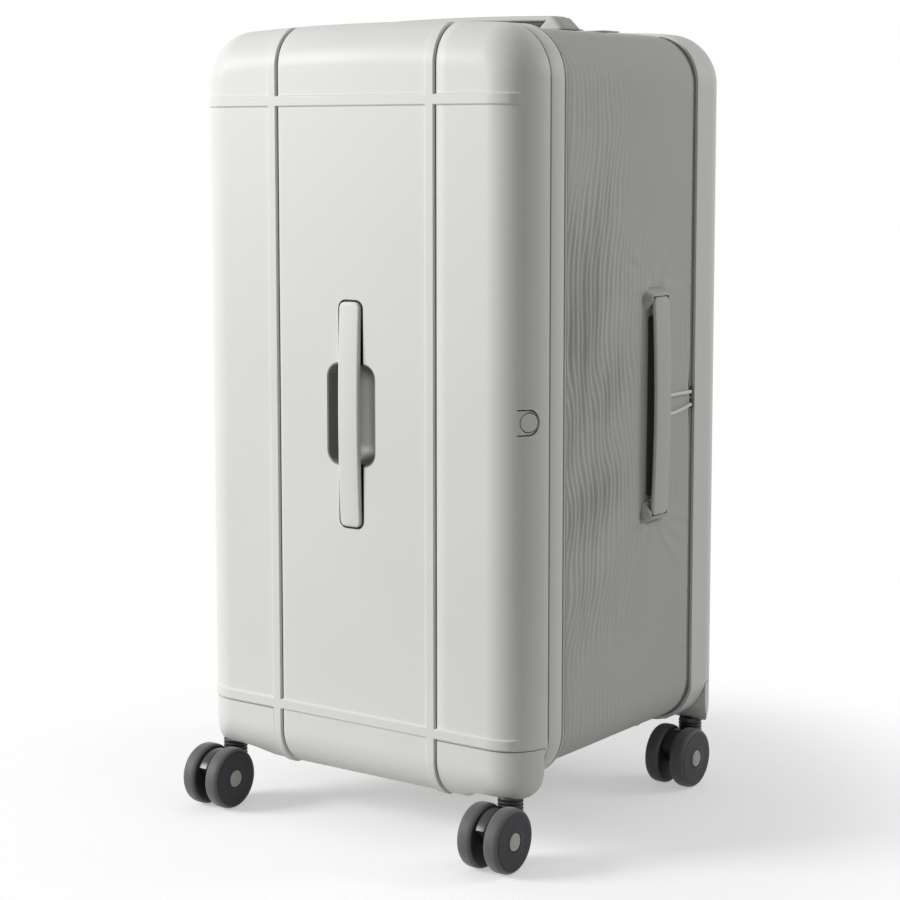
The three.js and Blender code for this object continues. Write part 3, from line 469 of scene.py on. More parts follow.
def block(name, x, y, z):
    corners = [(a, b, c) for a in x for b in y for c in z]
    faces = [(0, 1, 3, 2), (4, 6, 7, 5), (0, 4, 5, 1), (2, 3, 7, 6), (0, 2, 6, 4), (1, 5, 7, 3)]
    return tidy(make_piece(name, corners, faces))


def rounded_loop(wide, tall, corner, steps=8):
    right, top = wide / 2 - corner, tall / 2 - corner
    loop = []
    for quarter, (a, b) in enumerate(((right, top), (-right, top), (-right, -top), (right, -top))):
        for step in range(steps + 1):
            angle = (quarter + step / steps) * math.pi / 2
            loop.append((a + corner * math.cos(angle), b + corner * math.sin(angle)))
    return np.array(loop)


print("a rounded loop has", len(rounded_loop(0.02, 0.01, 0.002)), "points")

# %% [markdown]
# Cloth needs to know where each point lies along and across its threads, and a sheet with holes has
# points left over in them. One helper writes the first into the mesh, and one clears the second.

# %% Cloth map and loose points
def with_cloth_map(piece, cloth):
    spread = np.concatenate([cloth.reshape(-1, 2)] * 2)
    layer = piece.data.uv_layers.new(name="cloth")
    corners = np.zeros(len(piece.data.loops), int)
    piece.data.loops.foreach_get("vertex_index", corners)
    layer.data.foreach_set("uv", spread[corners].astype(np.float32).ravel())


def without_loose_points(piece):
    work = bmesh.new()
    work.from_mesh(piece.data)
    loose = [vertex for vertex in work.verts if not vertex.link_faces]
    bmesh.ops.delete(work, geom=loose, context="VERTS")
    work.to_mesh(piece.data)
    work.free()


print("a sheet can carry its threads")

# %% [markdown]
# A moulded tray or a padded cloth is a sheet with a thickness, so it is one grid twice: an outer layer
# and an inner one, closed along every free edge. Cells can be left out, which makes a clean hole. A
# sheet that wraps joins its last column to its first.

# %% Thick sheets
def thick_sheet(name, outer, inner, keep, wrap=False, sharp=38, cloth=None):
    rows, columns = outer.shape[:2]
    points = np.concatenate([outer.reshape(-1, 3), inner.reshape(-1, 3)])
    below = rows * columns
    across = columns if wrap else columns - 1

    def kept(r, c):
        if wrap:
            c %= columns
        return 0 <= r < rows - 1 and 0 <= c < across and keep[r, c]

    faces = []
    for r in range(rows - 1):
        for c in range(across):
            if not kept(r, c):
                continue
            a, b = r * columns + c, r * columns + (c + 1) % columns
            e, f = b + columns, a + columns
            faces.append((a, b, e, f))
            faces.append((below + f, below + e, below + b, below + a))
            around = (((r - 1, c), b, a), ((r, c + 1), e, b), ((r + 1, c), f, e), ((r, c - 1), a, f))
            for there, start, end in around:
                if not kept(*there):
                    faces.append((start, end, below + end, below + start))
    piece = make_piece(name, points, faces, sharp)
    if cloth is not None:
        with_cloth_map(piece, cloth)
    without_loose_points(piece)
    smooth(piece, sharp)
    return piece


print("a thick sheet closes its own edges")

# %% [markdown]
# The two hard shells are deep moulded trays with one soft form: a flat face, an edge rounded by a
# large radius, and corners rounded again as seen from the front. One grid covers it all. Its middle
# columns and rows are plain lines on the face. Past the flat part they become stations that step
# round the edge and down the wall. In a corner both step at once, and the larger count sets the
# distance from the corner's centre while their ratio sets the angle.

# %% Shell sizes and edge
TOP, CROWN = 0.747, 0.007
CROWN_FROM = 0.690
LOW, BODY_LOW = 0.0485, 0.068
EDGE, WALL = 0.039, 0.003
TOP_CORNER, LOW_CORNER = 0.046, 0.040
LOW_SQUARE = 0.6  # below 1 makes the lower corners squarer than a circle
PAST_FACE = 9.0  # marks the column where the flat face ends


def smooth_step(value, start, end):
    share = min(max((value - start) / (end - start), 0.0), 1.0)
    return share * share * (3 - 2 * share)


def edge_stations(end):
    turns = [math.radians(angle) for angle in range(0, 91, 3)]
    rounded = [(EDGE * (1 - math.sin(a)), EDGE * (1 - math.cos(a)), a) for a in turns]
    walls = np.linspace(EDGE, end, max(2, int((end - EDGE) / 0.006) + 2))[1:]
    return rounded + [(0.0, depth, math.pi / 2) for depth in walls]


def crowned(x, z):
    return z + CROWN * (1 - (x / HALF) ** 2) * smooth_step(z, CROWN_FROM, TOP - TOP_CORNER)


print("top of the crown at", TOP + CROWN)

# %% [markdown]
# One function turns a grid line pair into a point. The station says how far in from the silhouette
# and how deep the point is, and the lift moves it out along its own normal, which makes ribs when it
# is positive and the inner side of the wall when it is negative.

# %% Point on the shell
def shell_point(column, row, lift, stations):
    side, across = column
    up, height = row
    between = LOW_CORNER + (TOP_CORNER - LOW_CORNER) * smooth_step(height, 0.15, 0.65)
    corner = TOP_CORNER if up > 0 else LOW_CORNER if up < 0 else between
    reach = max(abs(side), abs(up))
    inset, depth, turn = stations[reach - 1] if reach else (corner, 0.0, 0.0)
    out, front = lift * math.sin(turn), lift * math.cos(turn)
    x = math.copysign(HALF - corner, across) if abs(across) > 1 else across
    z = height
    if side and up:
        share = abs(up) / abs(side)
        angle = math.pi / 4 * share if share <= 1 else math.pi / 2 - math.pi / 4 / share
        radius = corner - inset + out
        square = 1.0 if up > 0 else LOW_SQUARE
        x = math.copysign(HALF - corner + radius * math.cos(angle) ** square, side)
        rise = radius * math.sin(angle) ** square
        z = TOP - corner + rise if up > 0 else LOW + corner - rise
    elif side:
        x = math.copysign(HALF - inset + out, side)
    elif up:
        z = TOP - inset + out if up > 0 else LOW + inset - out
    return (x, depth - front, crowned(x, z))


print("middle of the face", [round(v, 4) for v in shell_point((0, 0.0), (0, 0.4), 0.0, [])])

# %% [markdown]
# The raised ribs are part of the same moulding, so they are not laid on top: the surface itself rises
# by two millimetres along them. An upright rib has a narrow groove at its right foot and fades just
# before the seam. A level one fades already as it turns round the edge.

# %% Ribs
RIB_X, RIB_Z = 0.091, (0.1122, 0.683)
RIB_HEIGHT, GROOVE_DEPTH = 0.002, 0.0013
RIB_TOP, UPRIGHT_FOOT, LEVEL_FOOT = 0.0041, 0.0051, 0.0054
GROOVE_AT, GROOVE_HALF = 0.0056, 0.0007


def rib_lift(column, row, stations):
    side, across = column
    up, height = row
    lift, groove = 0.0, 0.0
    if not side and abs(across) < 1:
        depth = stations[abs(up) - 1][1] if up else 0.0
        right = across - math.copysign(RIB_X, across)
        fade = 1 - smooth_step(depth, 0.022, 0.031)
        lift = (1 - smooth_step(abs(right), RIB_TOP, UPRIGHT_FOOT)) * fade
        groove = math.exp(-((right - GROOVE_AT) / GROOVE_HALF) ** 2) * fade
    if not up:
        depth = stations[abs(side) - 1][1] if side else 0.0
        off = min(abs(height - z) for z in RIB_Z)
        fade = 1 - smooth_step(depth, 0.005, 0.014)
        level = (1 - smooth_step(off, RIB_TOP, LEVEL_FOOT)) * fade
        lift, groove = max(lift, level), groove * (1 - level)
    return RIB_HEIGHT * lift - GROOVE_DEPTH * groove


print("ribs stand", RIB_HEIGHT, "m out")

# %% [markdown]
# Grid lines crowd at the ribs' flanks, which keeps those crisp, and on the door they are closer beside
# the latch. Elsewhere they are wide apart, because the face is flat. The row at the top of the corner
# housings lets the shell stop there.

# %% Grid lines
DOOR_END, BACK_END = 0.0413, 0.065
RIB_FLANKS = (0.0, 0.0025, 0.0036, 0.0040, 0.0043, 0.0046, 0.0050, 0.0054, 0.0058, 0.0063, 0.0069)
HOUSING_X, HOUSING_TOP = 0.0965, 0.1055
SEAM_LINE = 0.0009  # a hairline joint between two mouldings


def lines_between(low, high, step, centres):
    flanks = {round(centre + sign * flank, 6)
              for centre in centres for flank in RIB_FLANKS for sign in (-1, 1)}
    plain = np.arange(low, high, step)
    return sorted(flanks | {round(v, 6) for v in plain if all(abs(v - c) > 0.008 for c in centres)})


def shell_lines(stations, latch=False):
    count = len(stations)
    inner = lines_between(-0.135, 0.136, 0.0135, (-RIB_X, RIB_X))
    columns = [(-k, 0.0) for k in range(count, 0, -1)] + [(0, -PAST_FACE)] + [(0, x) for x in inner]
    columns += [(0, PAST_FACE)] + [(k, 0.0) for k in range(1, count + 1)]
    heights = set(lines_between(0.132, 0.695, 0.0235, RIB_Z))
    heights |= {LOW + LOW_CORNER, 0.097, TOP - TOP_CORNER, round(HOUSING_TOP + SEAM_LINE, 6)}
    if latch:
        heights |= {round(v, 6) for v in np.arange(0.383, 0.4205, 0.003)}
    rows = [(-k, 0.0) for k in range(count, 0, -1)] + [(0, z) for z in sorted(heights)]
    rows += [(k, 0.0) for k in range(1, count + 1)]
    return columns, rows


def shell_layer(columns, rows, stations, thickness=0.0, ribs=True):
    layer = np.zeros((len(rows), len(columns), 3))
    for r, row in enumerate(rows):
        for c, column in enumerate(columns):
            lift = rib_lift(column, row, stations) if ribs else 0.0
            layer[r, c] = shell_point(column, row, lift - thickness, stations)
    return layer


grid = shell_lines(edge_stations(DOOR_END))
print("the door's grid has", len(grid[0]), "columns and", len(grid[1]), "rows")

# %% [markdown]
# Behind each corner housing the shell's rim runs on round the lower corner, a little higher than the
# housing, and meets the frame. It is a plain strip swept round that corner.

# %% Rim behind the housings
HOUSING_DEPTH = 0.036


def corner_rim(end, side):
    centre = (HALF - TOP_CORNER, BODY_LOW + TOP_CORNER)
    first = math.asin((centre[1] - HOUSING_TOP - SEAM_LINE) / TOP_CORNER)
    widest = HALF - centre[0] - TOP_CORNER * math.cos(first)
    path = []
    for angle in np.linspace(first, math.pi / 2, 26):
        nx, nz = math.cos(angle), -math.sin(angle)
        lean = widest * (1 - smooth_step(angle, first, math.radians(28)))
        path.append((centre[0] + TOP_CORNER * nx + lean, centre[1] + TOP_CORNER * nz, nx, nz))
    path.append((HOUSING_X + SEAM_LINE, BODY_LOW, 0.0, -1.0))
    start = HOUSING_DEPTH + SEAM_LINE
    corners = [(start, 0), (end, 0), (end, WALL), (start, WALL)]
    return loft("rim", [[(side * (x - nx * inset), depth, z - nz * inset) for depth, inset in corners]
                        for x, z, nx, nz in path])


print("the door's rim ends", DOOR_END, "and the back shell's", BACK_END, "m from its face")

# %% [markdown]
# A shell is the outer layer with its ribs and a smooth inner layer 3 mm further in, less the two lower
# corners where the housings go, with the two strips of rim and a low wall between the corners.

# %% Hard shell
def hard_shell(name, end, latch=False):
    stations = edge_stations(end)
    columns, rows = shell_lines(stations, latch)
    outer = shell_layer(columns, rows, stations)
    inner = shell_layer(columns, rows, stations, thickness=WALL, ribs=False)
    middle = (outer[:-1, :-1] + outer[1:, :-1] + outer[:-1, 1:] + outer[1:, 1:]) / 4
    keep = ~((abs(middle[..., 0]) > HOUSING_X) & (middle[..., 2] < HOUSING_TOP + SEAM_LINE))
    shell = thick_sheet(name, outer, inner, keep, sharp=50)
    wide = HOUSING_X - 0.0002
    plinth = block("plinth_wall", (-wide, wide), (end - 0.0028, end - 0.0002), (0.0508, 0.071))
    return joined(name, [shell, corner_rim(end, 1), corner_rim(end, -1), plinth])


door = hard_shell("door_shell", DOOR_END, latch=True)
print("door shell faces", len(door.data.polygons))

# %% [markdown]
# The cup behind the front grip is a bowl for the fingers with a long shallow channel for the bar.
# The same room is used three times: grown to open the shell, whole for the cup's outside, and shrunk
# for its inside. Boolean operations join and cut closed meshes, which suits a shape that is easier to
# say as this room and that room than to draw. Beyond the bowl the channel's ends get a black colour,
# which is painted shade for the deep, narrow gap beside the bar.

# %% Cup for the front grip
GRIP_Z = 0.3965
BOWL_WIDE, BOWL_TALL, BOWL_CORNER = 0.057, 0.096, 0.014
BOWL_PROFILE = [(0.0008, 0.0003), (0.003, 0.0008), (0.007, 0.0018), (0.011, 0.0031), (0.014, 0.0045),
                (0.0165, 0.0062), (0.0186, 0.0083), (0.0203, 0.0110), (0.0214, 0.0140),
                (0.0220, 0.0175)]
CHANNEL = (0.0290, 0.2120, 0.0084)
CHANNEL_WALL, CHANNEL_FLOOR = 0.0048, 0.0054
CUP_WALL, CUP_GAP = 0.0009, 0.0001


def wall_ring(wide, tall, corner, grow, depth):
    loop = rounded_loop(wide + 2 * grow, tall + 2 * grow, corner)
    return [(x, depth, GRIP_Z + z) for x, z in loop]


def cup_room(grow, start):
    bowl = [wall_ring(BOWL_WIDE, BOWL_TALL, BOWL_CORNER + grow, grow, start)]
    for depth, inset in BOWL_PROFILE:
        corner = max(BOWL_CORNER + grow - 0.3 * inset, 0.006)
        bowl.append(wall_ring(BOWL_WIDE, BOWL_TALL, corner, grow - inset, depth + grow))
    wide, tall, corner = CHANNEL
    channel = [wall_ring(wide, tall, corner + grow, grow, depth)
               for depth in (start, CHANNEL_WALL + grow)]
    soft = CHANNEL_FLOOR - CHANNEL_WALL
    channel.append(wall_ring(wide, tall, corner + grow - soft, grow - soft, CHANNEL_FLOOR + grow))
    return carve(loft("cup_room", bowl), loft("channel", channel), "UNION")


carve(door, cup_room(CUP_GAP, -0.004), sharp=50)
cup = cup_room(0.0, 0.0005)
carve(cup, cup_room(-CUP_WALL, -0.003))
cup.data.materials.append(CUP)
cup.data.materials.append(DARK)
# Faces past the bowl take the black finish: painted shade for the channel's deep gap.
for face in cup.data.polygons:
    face.material_index = int(abs(face.center.z - GRIP_Z) > BOWL_TALL / 2 + 0.0004)
dress(cup, CUP, "front_door", ["front_grip_cup"])
print("cup faces", len(cup.data.polygons))

# %% [markdown]
# The latch sits on the rounded edge, turned 59 degrees from facing forward. Its own frame makes it
# simple: one axis up, one forward along the shell, one straight out of it. Two shapes serve it there,
# a flattened D and a turned disc.

# %% Latch frame and its two shapes
LATCH_TURN, LATCH_Z, FLATTEN = math.radians(59), 0.401, 0.88
latch_out = np.array([math.sin(LATCH_TURN), -math.cos(LATCH_TURN), 0.0])
latch_forward = np.array([-math.cos(LATCH_TURN), -math.sin(LATCH_TURN), 0.0])
latch_spot = np.array([HALF - EDGE, EDGE, LATCH_Z]) + EDGE * latch_out


def in_frame(points, spot, right, up, out):
    points = np.asarray(points, float)
    right, up, out = (np.asarray(axis, float) for axis in (right, up, out))
    return spot + points[:, :1] * right + points[:, 1:2] * up + points[:, 2:3] * out


def at_latch(points):
    return in_frame(points, latch_spot, (0, 0, 1), latch_forward, latch_out)


def latch_d(radius, long, low, high):
    turns = np.linspace(math.pi, 2 * math.pi, 33)
    loop = [(radius * math.cos(a), FLATTEN * radius * math.sin(a)) for a in turns]
    loop += [(radius, long), (-radius, long)]
    return loft("latch_d", [at_latch([(x, y, out) for x, y in loop]) for out in (low, high)])


def latch_disc(profile, name="button", steps=48):
    angles = np.linspace(0, 2 * math.pi, steps, endpoint=False)
    return loft(name, [at_latch([(r * math.cos(a), r * math.sin(a), h) for a in angles])
                       for r, h in profile])


print("latch at", latch_spot.round(4))

# %% [markdown]
# The D-shaped opening is a millimetre wider than the bezel, so a dark gap runs round it. The bezel is
# cut from the shell's own form, and is flush with it at the front end. From there it slopes down
# toward the back as a ring round the button, so that a thumb finds the button's edge.

# %% Latch bezel
OPENING_RADIUS, OPENING_LONG = 0.0118, 0.01123
BEZEL_RADIUS, BEZEL_LONG = 0.0106, 0.0112
BEZEL_THICK, BUTTON_HOLE = 0.007, 0.0093
SCOOP_FRONT, SCOOP_BACK = (0.0106, -0.0004), (-0.0080, -0.0024)


def latch_slab():
    stations = edge_stations(DOOR_END)
    columns = [(k, 0.0) for k in range(1, len(stations) - 1)]
    rows = [(0, z) for z in np.arange(0.380, 0.4225, 0.0015)]
    outer = shell_layer(columns, rows, stations, ribs=False)
    inner = shell_layer(columns, rows, stations, thickness=BEZEL_THICK, ribs=False)
    every_cell = np.ones((len(rows) - 1, len(columns) - 1), bool)
    return thick_sheet("latch_bezel_form", outer, inner, every_cell, sharp=50)


carve(door, latch_d(OPENING_RADIUS, OPENING_LONG, -0.008, 0.004), sharp=50)
bezel = carve(latch_slab(), latch_d(BEZEL_RADIUS, BEZEL_LONG, -0.0075, 0.004), "INTERSECT", sharp=50)
slope = [SCOOP_FRONT, SCOOP_BACK, (SCOOP_BACK[0], 0.006), (SCOOP_FRONT[0], 0.006)]
scoop = loft("scoop", [at_latch([(x, y, h) for y, h in slope]) for x in (-0.013, 0.013)])
carve(bezel, scoop, sharp=20)
carve(bezel, latch_disc([(BUTTON_HOLE, -0.009), (BUTTON_HOLE, 0.003)]), sharp=20)
dress(bezel, SHELL, "front_door", ["latch_bezel"])
print("bezel faces", len(bezel.data.polygons))

# %% [markdown]
# The button is one turned piece: a stem that reaches in to the bolt, and a disc with a soft rim. Its
# face lies a little under the shell's, so that the case can be stood against a wall without opening.

# %% Latch button
DISC_RADIUS, STEM_RADIUS, DISC_BACK, FACE = 0.0084, 0.0035, -0.0068, -0.0008
button = latch_disc([(STEM_RADIUS, -0.0148), (STEM_RADIUS, DISC_BACK), (DISC_RADIUS, DISC_BACK),
                     (DISC_RADIUS, FACE - 0.0009), (0.00825, FACE - 0.0004), (0.0079, FACE - 0.0001),
                     (0.0073, FACE), (0.0040, FACE + 0.0001)])
dress(button, SHELL, "latch_button", ["latch_button"])
print("button faces", len(button.data.polygons))

# %% [markdown]
# In a narrow groove the light dies sooner than a smooth mesh shows. So the door's groove faces, on the
# outer side and clear of the level ribs, get painted shade: a darker colour than the rest of the
# moulding.

# %% Shade in the door's grooves
GROOVE_BAND, CLEAR_OF_LEVEL, EDGE_PART = (0.0050, 0.0058), 0.0047, 0.024


def in_groove(panel):
    x, y, z = panel.center - Vector(ORIGIN)
    beside = x - math.copysign(RIB_X, x)
    outside = abs(panel.normal.z) - panel.normal.y > 0.1 and panel.normal.y < 0.5 and y < EDGE_PART
    clear = min(abs(z - rib) for rib in RIB_Z) > CLEAR_OF_LEVEL
    return GROOVE_BAND[0] < beside < GROOVE_BAND[1] and outside and clear


door.data.materials.append(SHELL)
door.data.materials.append(GROOVE_SHADE)
for panel in door.data.polygons:
    panel.material_index = int(in_groove(panel))
dress(door, SHELL, "front_door", ["front_door_shell"])
print("groove faces", sum(panel.material_index for panel in door.data.polygons))

# %% [markdown]
# The wheels swivel under an arch in each corner. A turned cutter makes it: a profile of radius and
# height, spun about the swivel. The same helper later turns the casters' upright parts.

# %% Turned parts and the arch
SWIVEL_X, SWIVEL_Y = HALF - 0.026, 0.0205
ARCH = [(0.0, 0.030), (0.064, 0.030), (0.0610, 0.0400), (0.0580, 0.0455), (0.0560, 0.0480),
        (0.0545, 0.0494), (0.0525, 0.0510), (0.0500, 0.0530), (0.0470, 0.0552), (0.0435, 0.0572),
        (0.0395, 0.0589), (0.0350, 0.0602), (0.0300, 0.0611), (0.0240, 0.0617), (0.0, 0.0620)]


def turned_upright(name, profile, spot, steps=96, sharp=38):
    angles = np.linspace(0, 2 * math.pi, steps, endpoint=False)
    sizes = [(max(r, 1e-5), z) for r, z in profile]
    rings = [[(spot[0] + r * math.cos(a), spot[1] + r * math.sin(a), z) for a in angles]
             for r, z in sizes]
    return loft(name, rings, sharp=sharp)


print("arches round the swivels at", round(SWIVEL_X, 4), SWIVEL_Y)

# %% [markdown]
# The corner housings are separate mouldings let into the shell, which is why a dark hairline runs
# round them. Each starts as a solid corner: the shell's own form outside, so the surfaces stay flush,
# closed by three flat faces that meet in one inner point.

# %% Solid corner
def capped_corner(name, outer):
    rows, columns = outer.shape[:2]
    points = outer.reshape(-1, 3).tolist() + [[outer[-1, 0, 0], DOOR_END, outer[-1, 0, 2]]]
    corner = rows * columns
    faces = [(r * columns + c, r * columns + c + 1, (r + 1) * columns + c + 1, (r + 1) * columns + c)
             for r in range(rows - 1) for c in range(columns - 1)]
    left = [r * columns for r in range(rows)]
    top = [(rows - 1) * columns + c for c in range(columns)]
    low = list(range(columns)) + [r * columns + columns - 1 for r in range(1, rows)]
    faces += [tuple(left + [corner]), tuple(top + [corner]), tuple([corner] + low[::-1])]
    return tidy(make_piece(name, points, faces), 50)


print("three flat faces close each corner")

# %% [markdown]
# The solid corner is stepped back to the housing's depth, arched for the wheels, and the heel of its
# side wall is rounded. The left housing mirrors the right one.

# %% Corner housing
HEEL, HEEL_LOW, FAR_LOW = 0.024, 0.0610, 0.03


def heel_cutter():
    turns = [math.radians(a) for a in range(0, 91, 6)]
    front, back = HOUSING_DEPTH - HEEL, HOUSING_DEPTH + 0.01
    side = [(HEEL * math.sin(a) + front, HEEL_LOW + HEEL * (1 - math.cos(a))) for a in turns]
    side += [(back, HEEL_LOW + HEEL), (back, FAR_LOW), (front, FAR_LOW)]
    return loft("heel", [[(x, y, z) for y, z in side] for x in (0.145, 0.25)])


def corner_housing(name, side):
    stations = edge_stations(DOOR_END)
    count = len(stations)
    columns = [(0, HOUSING_X + SEAM_LINE)] + [(0, x) for x in np.linspace(0.103, 0.147, 12)]
    columns += [(0, PAST_FACE)] + [(k, 0.0) for k in range(1, count + 1)]
    rows = [(-k, 0.0) for k in range(count, 0, -1)]
    rows += [(0, z) for z in (LOW + LOW_CORNER, 0.094, 0.100, HOUSING_TOP)]
    housing = capped_corner(name, shell_layer(columns, rows, stations, ribs=False))
    carve(housing, block("step", (0.05, 0.25), (HOUSING_DEPTH, 0.06), (0.0, 0.2)), sharp=50)
    carve(housing, turned_upright("arch", ARCH, (SWIVEL_X, SWIVEL_Y)), sharp=50)
    carve(housing, heel_cutter(), sharp=50)
    if side < 0:
        for vertex in housing.data.vertices:
            vertex.co.x = 2 * ORIGIN[0] - vertex.co.x
        housing.data.flip_normals()
        smooth(housing, 50)
    return housing


print("housings are", HOUSING_DEPTH, "m deep with a heel of radius", HEEL)

# %% [markdown]
# The back of the case is its front turned half round, so the same housing serves all four corners: at
# the back it is made for the other side and turned about the case's middle.

# %% The four housings
def turned_to_back(piece):
    points = np.zeros(len(piece.data.vertices) * 3)
    piece.data.vertices.foreach_get("co", points)
    points = points.reshape(-1, 3) - ORIGIN
    points[:, 0] *= -1
    points[:, 1] = DEPTH - points[:, 1]
    piece.data.vertices.foreach_set("co", (points + ORIGIN).ravel())
    piece.data.update()
    return piece


for end_name, body in (("front", "front_door"), ("back", "rear_shell")):
    for side_name, side in (("left", -1), ("right", 1)):
        node = f"{end_name}_{side_name}_corner_housing"
        housing = corner_housing(node + "_cover", side if end_name == "front" else -side)
        if end_name == "back":
            turned_to_back(housing)
        dress(housing, SHELL, body, [node])
        print(node, "faces", len(housing.data.polygons))

# %% [markdown]
# The back shell is the same tray, deeper, turned to face backwards. Its top has a slot for the well
# in which the telescopic handle rests. The slot is cut by an upright pad, a loft of rounded loops that
# also makes the handle's own parts: each height has an inset, so a pad can have soft edges.

# %% Back shell
TROLLEY_Y = DEPTH - 0.0467


def upright_pad(name, wide, deep, corner, heights):
    rings = []
    for z, inset in heights:
        loop = rounded_loop(wide - 2 * inset, deep - 2 * inset, corner - inset)
        rings.append([(a, TROLLEY_Y + b, z) for a, b in loop])
    return loft(name, rings)


back = turned_to_back(hard_shell("back_shell_cover", BACK_END))
carve(back, upright_pad("slot", 0.1606, 0.0316, 0.0073, [(0.715, 0), (0.770, 0)]), sharp=50)
dress(back, SHELL, "rear_shell", ["back_shell"])
print("back shell faces", len(back.data.polygons))

# %% [markdown]
# Frame, piping, gusset and zip all follow one line: the case's outline seen from the front. The path
# below walks round it once and gives each point its outward direction and its distance along the
# line, so a ring of any section is a few insets and depths.

# %% The case's outline as a path
def outline_path(half, low, high, corner, spacing):
    def straight(a, b, normal):
        steps = max(2, int(math.dist(a, b) / spacing))
        return [(a[0] + (b[0] - a[0]) * i / steps, a[1] + (b[1] - a[1]) * i / steps, *normal)
                for i in range(steps)]

    def arc(cx, cz, start):
        steps = max(8, int(corner * math.pi / 2 / spacing))
        angles = [math.radians(start + 90 * i / steps) for i in range(steps)]
        return [(cx + corner * math.cos(a), cz + corner * math.sin(a), math.cos(a), math.sin(a))
                for a in angles]

    flat = half - corner
    path = straight((0, low), (flat, low), (0, -1)) + arc(flat, low + corner, -90)
    path += straight((half, low + corner), (half, high - corner), (1, 0)) + arc(flat, high - corner, 0)
    path += straight((flat, high), (-flat, high), (0, 1)) + arc(-flat, high - corner, 90)
    path += straight((-half, high - corner), (-half, low + corner), (-1, 0))
    path += arc(-flat, low + corner, 180) + straight((-flat, low), (0, low), (0, -1))
    path = np.array(path)
    steps = np.hypot(*(np.roll(path[:, :2], -1, 0) - path[:, :2]).T)
    return path, np.concatenate([[0], np.cumsum(steps)[:-1]])


def on_path(path, inset, y, half=HALF):
    x = path[:, 0] - inset * path[:, 2]
    z = path[:, 1] - inset * path[:, 3]
    top = np.clip((z - CROWN_FROM) / (TOP - TOP_CORNER - CROWN_FROM), 0, 1)
    z = z + CROWN * (1 - (x / half) ** 2) * top * top * (3 - 2 * top)
    return np.stack([x, np.broadcast_to(y, x.shape), z], 1)


SOFT_INSET = 0.0025  # the fabric lies this much inside the hard outline
body_path, body_run = outline_path(HALF, BODY_LOW, TOP, TOP_CORNER, 0.008)
gusset_half = HALF - SOFT_INSET
soft_path, soft_run = outline_path(gusset_half, 0.072, TOP - SOFT_INSET, TOP_CORNER, 0.0036)
print("outline is", round(body_run[-1], 3), "m round, the fabric's", round(soft_run[-1], 3))

# %% [markdown]
# The frame is the hard ring that the door closes on. Behind it the piping, a cord in the seam, hides
# the fabric's sewn edge. The gaps beside them lie in shade, so four dark rings are laid there as
# painted shade, just under the surface.

# %% Frame, piping and painted gap shade
FRAME_START, FRAME_END = 0.0433, 0.0649
PIPING_START, PIPING_END = FRAME_END + 0.0011, 0.0690
CORD_RADIUS, CORD_DEEP = 0.00158, 0.0014
GAP_SHADE_TO = 0.0699


def ring_piece(name, path, profile):
    return loft(name, [on_path(path, inset, y) for y, inset in profile], endless=True)


rim = [(FRAME_START, 0.0010), (FRAME_START + 0.0003, 0.0004), (FRAME_START + 0.0010, 0.0),
       (FRAME_END - 0.0012, 0.0), (FRAME_END - 0.0004, 0.0003), (FRAME_END, 0.0012), (FRAME_END, 0.014),
       (FRAME_END - 0.002, 0.014), (FRAME_END - 0.002, 0.003), (FRAME_START, 0.003)]
dress(ring_piece("rim_frame", body_path, rim), SHELL, "main_body", ["frame"])
cord_at = (PIPING_START + PIPING_END) / 2
cord = [(cord_at + CORD_RADIUS * math.cos(a), CORD_DEEP - CORD_RADIUS * math.sin(a))
        for a in np.linspace(0, 2 * math.pi, 16, endpoint=False)]
dress(ring_piece("piping_cord", body_path, cord), GRIP, "main_body", ["front_piping"])
# Four dark rings in the seam gaps: painted shade, not a part of the case.
gap_shades = []
for start, end, high, low in ((FRAME_START - 0.0014, FRAME_START - 0.0001, 0.0003, 0.0029),
                              (FRAME_END + 0.0001, PIPING_START - 0.0001, 0.0004, 0.0090),
                              (PIPING_START, PIPING_END, 0.0032, 0.0090),
                              (PIPING_END + 0.0001, GAP_SHADE_TO, 0.0006, 0.0090)):
    gap_shades.append(ring_piece("gap_shade", body_path, [(start, high), (end, high), (end, low), (start, low)]))
dress(joined("rim_gap_shade", gap_shades), DARK, "main_body")
print("frame from", FRAME_START, "to", FRAME_END)

# %% [markdown]
# The gusset is foam under fabric, sewn in at both edges and fuller between them. Cloth that is a
# little too long for its foam buckles into shallow waves along the seam, which wander, cross and die
# out. Each of these is a small height added to the padded form. The heights are sums of sines with a
# few random numbers rather than a simulation, so that they can be strong where the real case has them.

# %% Waves in the fabric
GUSSET_START, GUSSET_END = 0.0701, 0.2944
WAVE_PITCH, CROSS_PITCH, WAVE_HEIGHT = 0.0074, 0.0118, 0.00125
PUCKER_PITCH, PUCKER_HEIGHT = 0.0085, 0.00035
BROAD_HEIGHT, SEAM_SINK = 0.0007, 0.0018
FULL_TURN = 2 * math.pi


def wander(u, v, seed, size):
    chance = np.random.default_rng(seed)
    total = np.zeros(np.broadcast(u, v).shape)
    for _ in range(6):
        angle = chance.uniform(0, FULL_TURN)
        rate = FULL_TURN / size * chance.uniform(0.6, 1.5)
        across = u * math.cos(angle) + v * math.sin(angle)
        total = total + np.sin(rate * across + chance.uniform(0, 6.28)) / 6
    return total * 1.6


def bump_at(distance, wide):
    return np.exp(-(distance / wide) ** 2)


